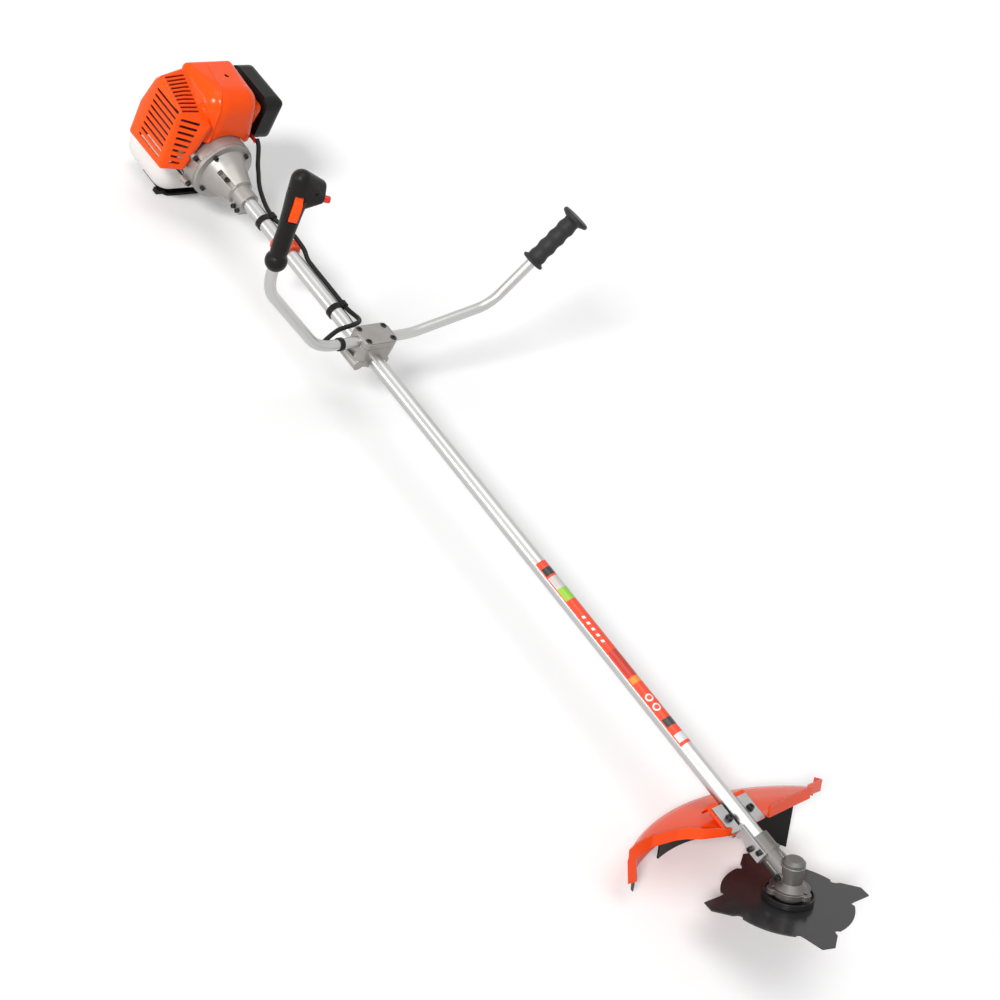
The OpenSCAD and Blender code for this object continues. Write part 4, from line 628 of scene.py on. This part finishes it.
class BRUSHCUTTER_OT_studio(bpy.types.Operator):
    """Adds the floor, the sky, the lamps and the camera"""

    bl_idname = "brushcutter.studio"
    bl_label = "Studio"

    def execute(self, context):
        studio = context.scene.brush_cutter_studio
        self.floor(studio)
        self.sky(context.scene, studio)
        for name in ("top", "front", "side"):
            self.lamp(name, studio)
        self.camera(context.scene, studio)
        context.scene.view_settings.view_transform = "Standard"
        return {"FINISHED"}

    def floor(self, studio):
        bpy.ops.object.select_all(action="DESELECT")
        bpy.ops.mesh.primitive_plane_add(size=FLOOR_SIZE, location=FLOOR_MIDDLE)
        floor = bpy.context.active_object
        floor.name = "floor"
        f = Finish("pale_floor", studio.floor, roughness=0.9)
        f.set("Base Color", f.tones(f.noise(scale=3), studio.floor, 0.995, 1.0))
        f.set("Emission Color", f.seen())
        f.set("Emission Strength", studio.glow)
        paint(floor, f.material)

    def sky(self, scene, studio):
        """White in view and in reflections, and dimmer as a light."""
        scene.world = bpy.data.worlds.new("studio_sky")
        scene.world.use_nodes = True
        nodes = Nodes(scene.world.node_tree)
        background = nodes.tree.nodes["Background"]
        strength = nodes.node("ShaderNodeMapRange", None, {
            "Value": nodes.seen(), "To Min": studio.sky, "To Max": studio.backdrop})
        nodes.feed(background.inputs["Strength"], strength)
        nodes.feed(background.inputs["Color"], (1, 1, 1))

    def lamp(self, name, studio):
        """Far lamp that shines from its place towards the origin."""
        place = Vector(getattr(studio, name + "_place"))
        turn = (-place).to_track_quat("-Z", "Y").to_euler()
        bpy.ops.object.light_add(type="SUN", location=place, rotation=turn)
        lamp = bpy.context.active_object
        lamp.name = name + "_light"
        lamp.data.energy = getattr(studio, name)
        lamp.data.angle = getattr(studio, name + "_spread")

    def camera(self, scene, studio):
        turn = Matrix((CAMERA_RIGHT, CAMERA_UP, CAMERA_BACK)).transposed().to_euler()
        bpy.ops.object.camera_add(location=CAMERA_PLACE, rotation=turn)
        camera = bpy.context.active_object
        camera.name = "photo_camera"
        camera.data.sensor_width = SENSOR_WIDTH
        camera.data.lens = studio.lens
        scene.camera = camera


class BRUSHCUTTER_OT_throttle_cable(bpy.types.Operator):
    """Lays the throttle cable along the shaft into the handlebar"""

    bl_idname = "brushcutter.throttle_cable"
    bl_label = "Throttle Cable"

    def execute(self, context):
        diameter = context.scene.brush_cutter_cable.diameter
        line = bpy.data.curves.new("throttle_sleeve", "CURVE")
        line.dimensions = "3D"
        line.bevel_depth = diameter / 2
        line.bevel_resolution = 5
        line.use_fill_caps = True
        spline = line.splines.new("BEZIER")
        spline.resolution_u = 6
        spline.bezier_points.add(len(CABLE_ROUTE) - 1)
        for point, (x, y, z) in zip(spline.bezier_points, CABLE_ROUTE):
            point.co = (x, y, z + SHAFT_Z)
            point.handle_left_type = point.handle_right_type = "AUTO"
        cable = bpy.data.objects.new("throttle_sleeve", line)
        context.scene.collection.objects.link(cable)
        context.view_layer.update()
        line.materials.append(finish_of("rubber_black"))
        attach(cable, "frame")
        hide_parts("throttle_cable")
        x, y, z = CABLE_ROUTE[0]
        return {"FINISHED"}


class BRUSHCUTTER_OT_finishes(bpy.types.Operator):
    """Paints every solid with the finish of its material slot"""

    bl_idname = "brushcutter.finishes"
    bl_label = "Finishes"

    def execute(self, context):
        for node, solid in frame["nodes"].items():
            paint(solid, finish_of(slot_of(node)))
        return {"FINISHED"}


class BRUSHCUTTER_OT_moulded_skins(bpy.types.Operator):
    """Gives the moulded shells a smooth skin without facets"""

    bl_idname = "brushcutter.moulded_skins"
    bl_label = "Moulded Skins"

    def execute(self, context):
        for node in MOULDED:
            self.skin(context, node)
        return {"FINISHED"}

    def skin(self, context, node):
        solid = frame["nodes"][node]
        skin = bpy.data.objects.new(node + "_skin", solid.data.copy())
        context.scene.collection.objects.link(skin)
        only(skin)
        bpy.ops.object.mode_set(mode="EDIT")
        bpy.ops.mesh.select_all(action="SELECT")
        bpy.ops.mesh.remove_doubles(threshold=MERGE_DISTANCE)
        bpy.ops.object.mode_set(mode="OBJECT")
        if node in ROUNDED:
            self.round_edges(skin, ROUNDED[node])
        bpy.ops.object.shade_smooth_by_angle(angle=SKIN_ANGLE)
        flat = skin.modifiers.new("flat_faces", "WEIGHTED_NORMAL")
        flat.keep_sharp = True
        bpy.ops.object.modifier_apply(modifier=flat.name)
        paint(skin, finish_of(slot_of(node)))
        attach(skin, solid["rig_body"])
        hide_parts(node)

    def round_edges(self, skin, radius):
        """Bevels the edges of the outer form, and leaves its rim and openings sharp."""
        bpy.ops.object.mode_set(mode="EDIT")
        bpy.ops.mesh.select_all(action="SELECT")
        bpy.ops.mesh.dissolve_limited(angle_limit=FLAT_ANGLE)
        bpy.ops.mesh.select_mode(type="EDGE")
        bpy.ops.mesh.select_all(action="DESELECT")
        bpy.ops.object.mode_set(mode="OBJECT")
        mesh = skin.data
        sides = {}
        for face in mesh.polygons:
            for key in face.edge_keys:
                sides.setdefault(key, []).append(face.normal)
        rim = min(vertex.co.y for vertex in mesh.vertices) + SHARP_RIM
        for edge in mesh.edges:
            first, second = sides[edge.key][:2]
            middle = (mesh.vertices[edge.vertices[0]].co + mesh.vertices[edge.vertices[1]].co) / 2
            reach = max((vertex.co - middle).dot(first + second) for vertex in mesh.vertices)
            edge.select = middle.y > rim and reach < HULL_SLACK and first.angle(second) > CORNER_ANGLE
        bpy.ops.object.mode_set(mode="EDIT")
        bpy.ops.mesh.bevel(offset=radius, segments=4, profile=0.5, clamp_overlap=True)
        bpy.ops.object.mode_set(mode="OBJECT")


class BRUSHCUTTER_OT_shaft_label(bpy.types.Operator):
    """Wraps the printed film round the tube"""

    bl_idname = "brushcutter.shaft_label"
    bl_label = "Shaft Label"

    def execute(self, context):
        label = context.scene.brush_cutter_label
        bpy.ops.object.select_all(action="DESELECT")
        bpy.ops.mesh.primitive_cylinder_add(
            vertices=144, radius=TUBE_R + FILM_GAP, depth=label.length, end_fill_type="NOTHING",
            location=(label.start + label.length / 2, 0, SHAFT_Z), rotation=(0, math.pi / 2, 0))
        film = context.active_object
        film.name = "shaft_label"
        settle(film)
        self.trim(film, label)
        thick = film.modifiers.new("film", "SOLIDIFY")
        thick.thickness = label.thickness
        thick.offset = 1
        only(film)
        bpy.ops.object.modifier_apply(modifier=thick.name)
        bpy.ops.object.shade_smooth_by_angle(angle=FILM_ANGLE)
        paint(film, label_print(label))
        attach(film, "frame")
        return {"FINISHED"}

    def trim(self, film, label):
        """Deletes the faces of the full tube that the film leaves bare."""
        bpy.ops.object.mode_set(mode="EDIT")
        bpy.ops.mesh.select_mode(type="FACE")
        bpy.ops.mesh.select_all(action="DESELECT")
        bpy.ops.object.mode_set(mode="OBJECT")
        for face in film.data.polygons:
            angle = math.atan2(face.center.z - SHAFT_Z, face.center.y)
            face.select = not label.edge - label.wrap < angle < label.edge
        bpy.ops.object.mode_set(mode="EDIT")
        bpy.ops.mesh.delete(type="FACE")
        bpy.ops.object.mode_set(mode="OBJECT")


OPERATORS = (
    BRUSHCUTTER_OT_studio, BRUSHCUTTER_OT_throttle_cable, BRUSHCUTTER_OT_finishes,
    BRUSHCUTTER_OT_moulded_skins, BRUSHCUTTER_OT_shaft_label,
)

SETTINGS = {
    "brush_cutter_label": LabelSettings, "brush_cutter_cable": CableSettings,
    "brush_cutter_finish": FinishSettings, "brush_cutter_studio": StudioSettings,
}


class BRUSHCUTTER_PT_panel(bpy.types.Panel):
    """Lists the steps that dress the brush cutter"""

    bl_idname = "BRUSHCUTTER_PT_panel"
    bl_label = "Brush Cutter"
    bl_space_type = "VIEW_3D"
    bl_region_type = "UI"
    bl_category = "Brush Cutter"

    def draw(self, context):
        for operator in OPERATORS:
            self.layout.operator(operator.bl_idname)
        for name in SETTINGS:
            group = getattr(context.scene, name)
            box = self.layout.box()
            for key in group.bl_rna.properties.keys():
                if key not in {"rna_type", "name"}:
                    box.prop(group, key)


def register():
    for kind in (*SETTINGS.values(), *OPERATORS, BRUSHCUTTER_PT_panel):
        bpy.utils.register_class(kind)
    for name, kind in SETTINGS.items():
        setattr(bpy.types.Scene, name, bpy.props.PointerProperty(type=kind))


def unregister():
    for name in SETTINGS:
        delattr(bpy.types.Scene, name)
    for kind in (BRUSHCUTTER_PT_panel, *reversed(OPERATORS), *SETTINGS.values()):
        bpy.utils.unregister_class(kind)


def main():
    register()
    bpy.ops.brushcutter.studio()
    bpy.ops.brushcutter.throttle_cable()
    bpy.ops.brushcutter.finishes()
    bpy.ops.brushcutter.moulded_skins()
    bpy.ops.brushcutter.shaft_label()


if __name__ == "__main__":
    main()
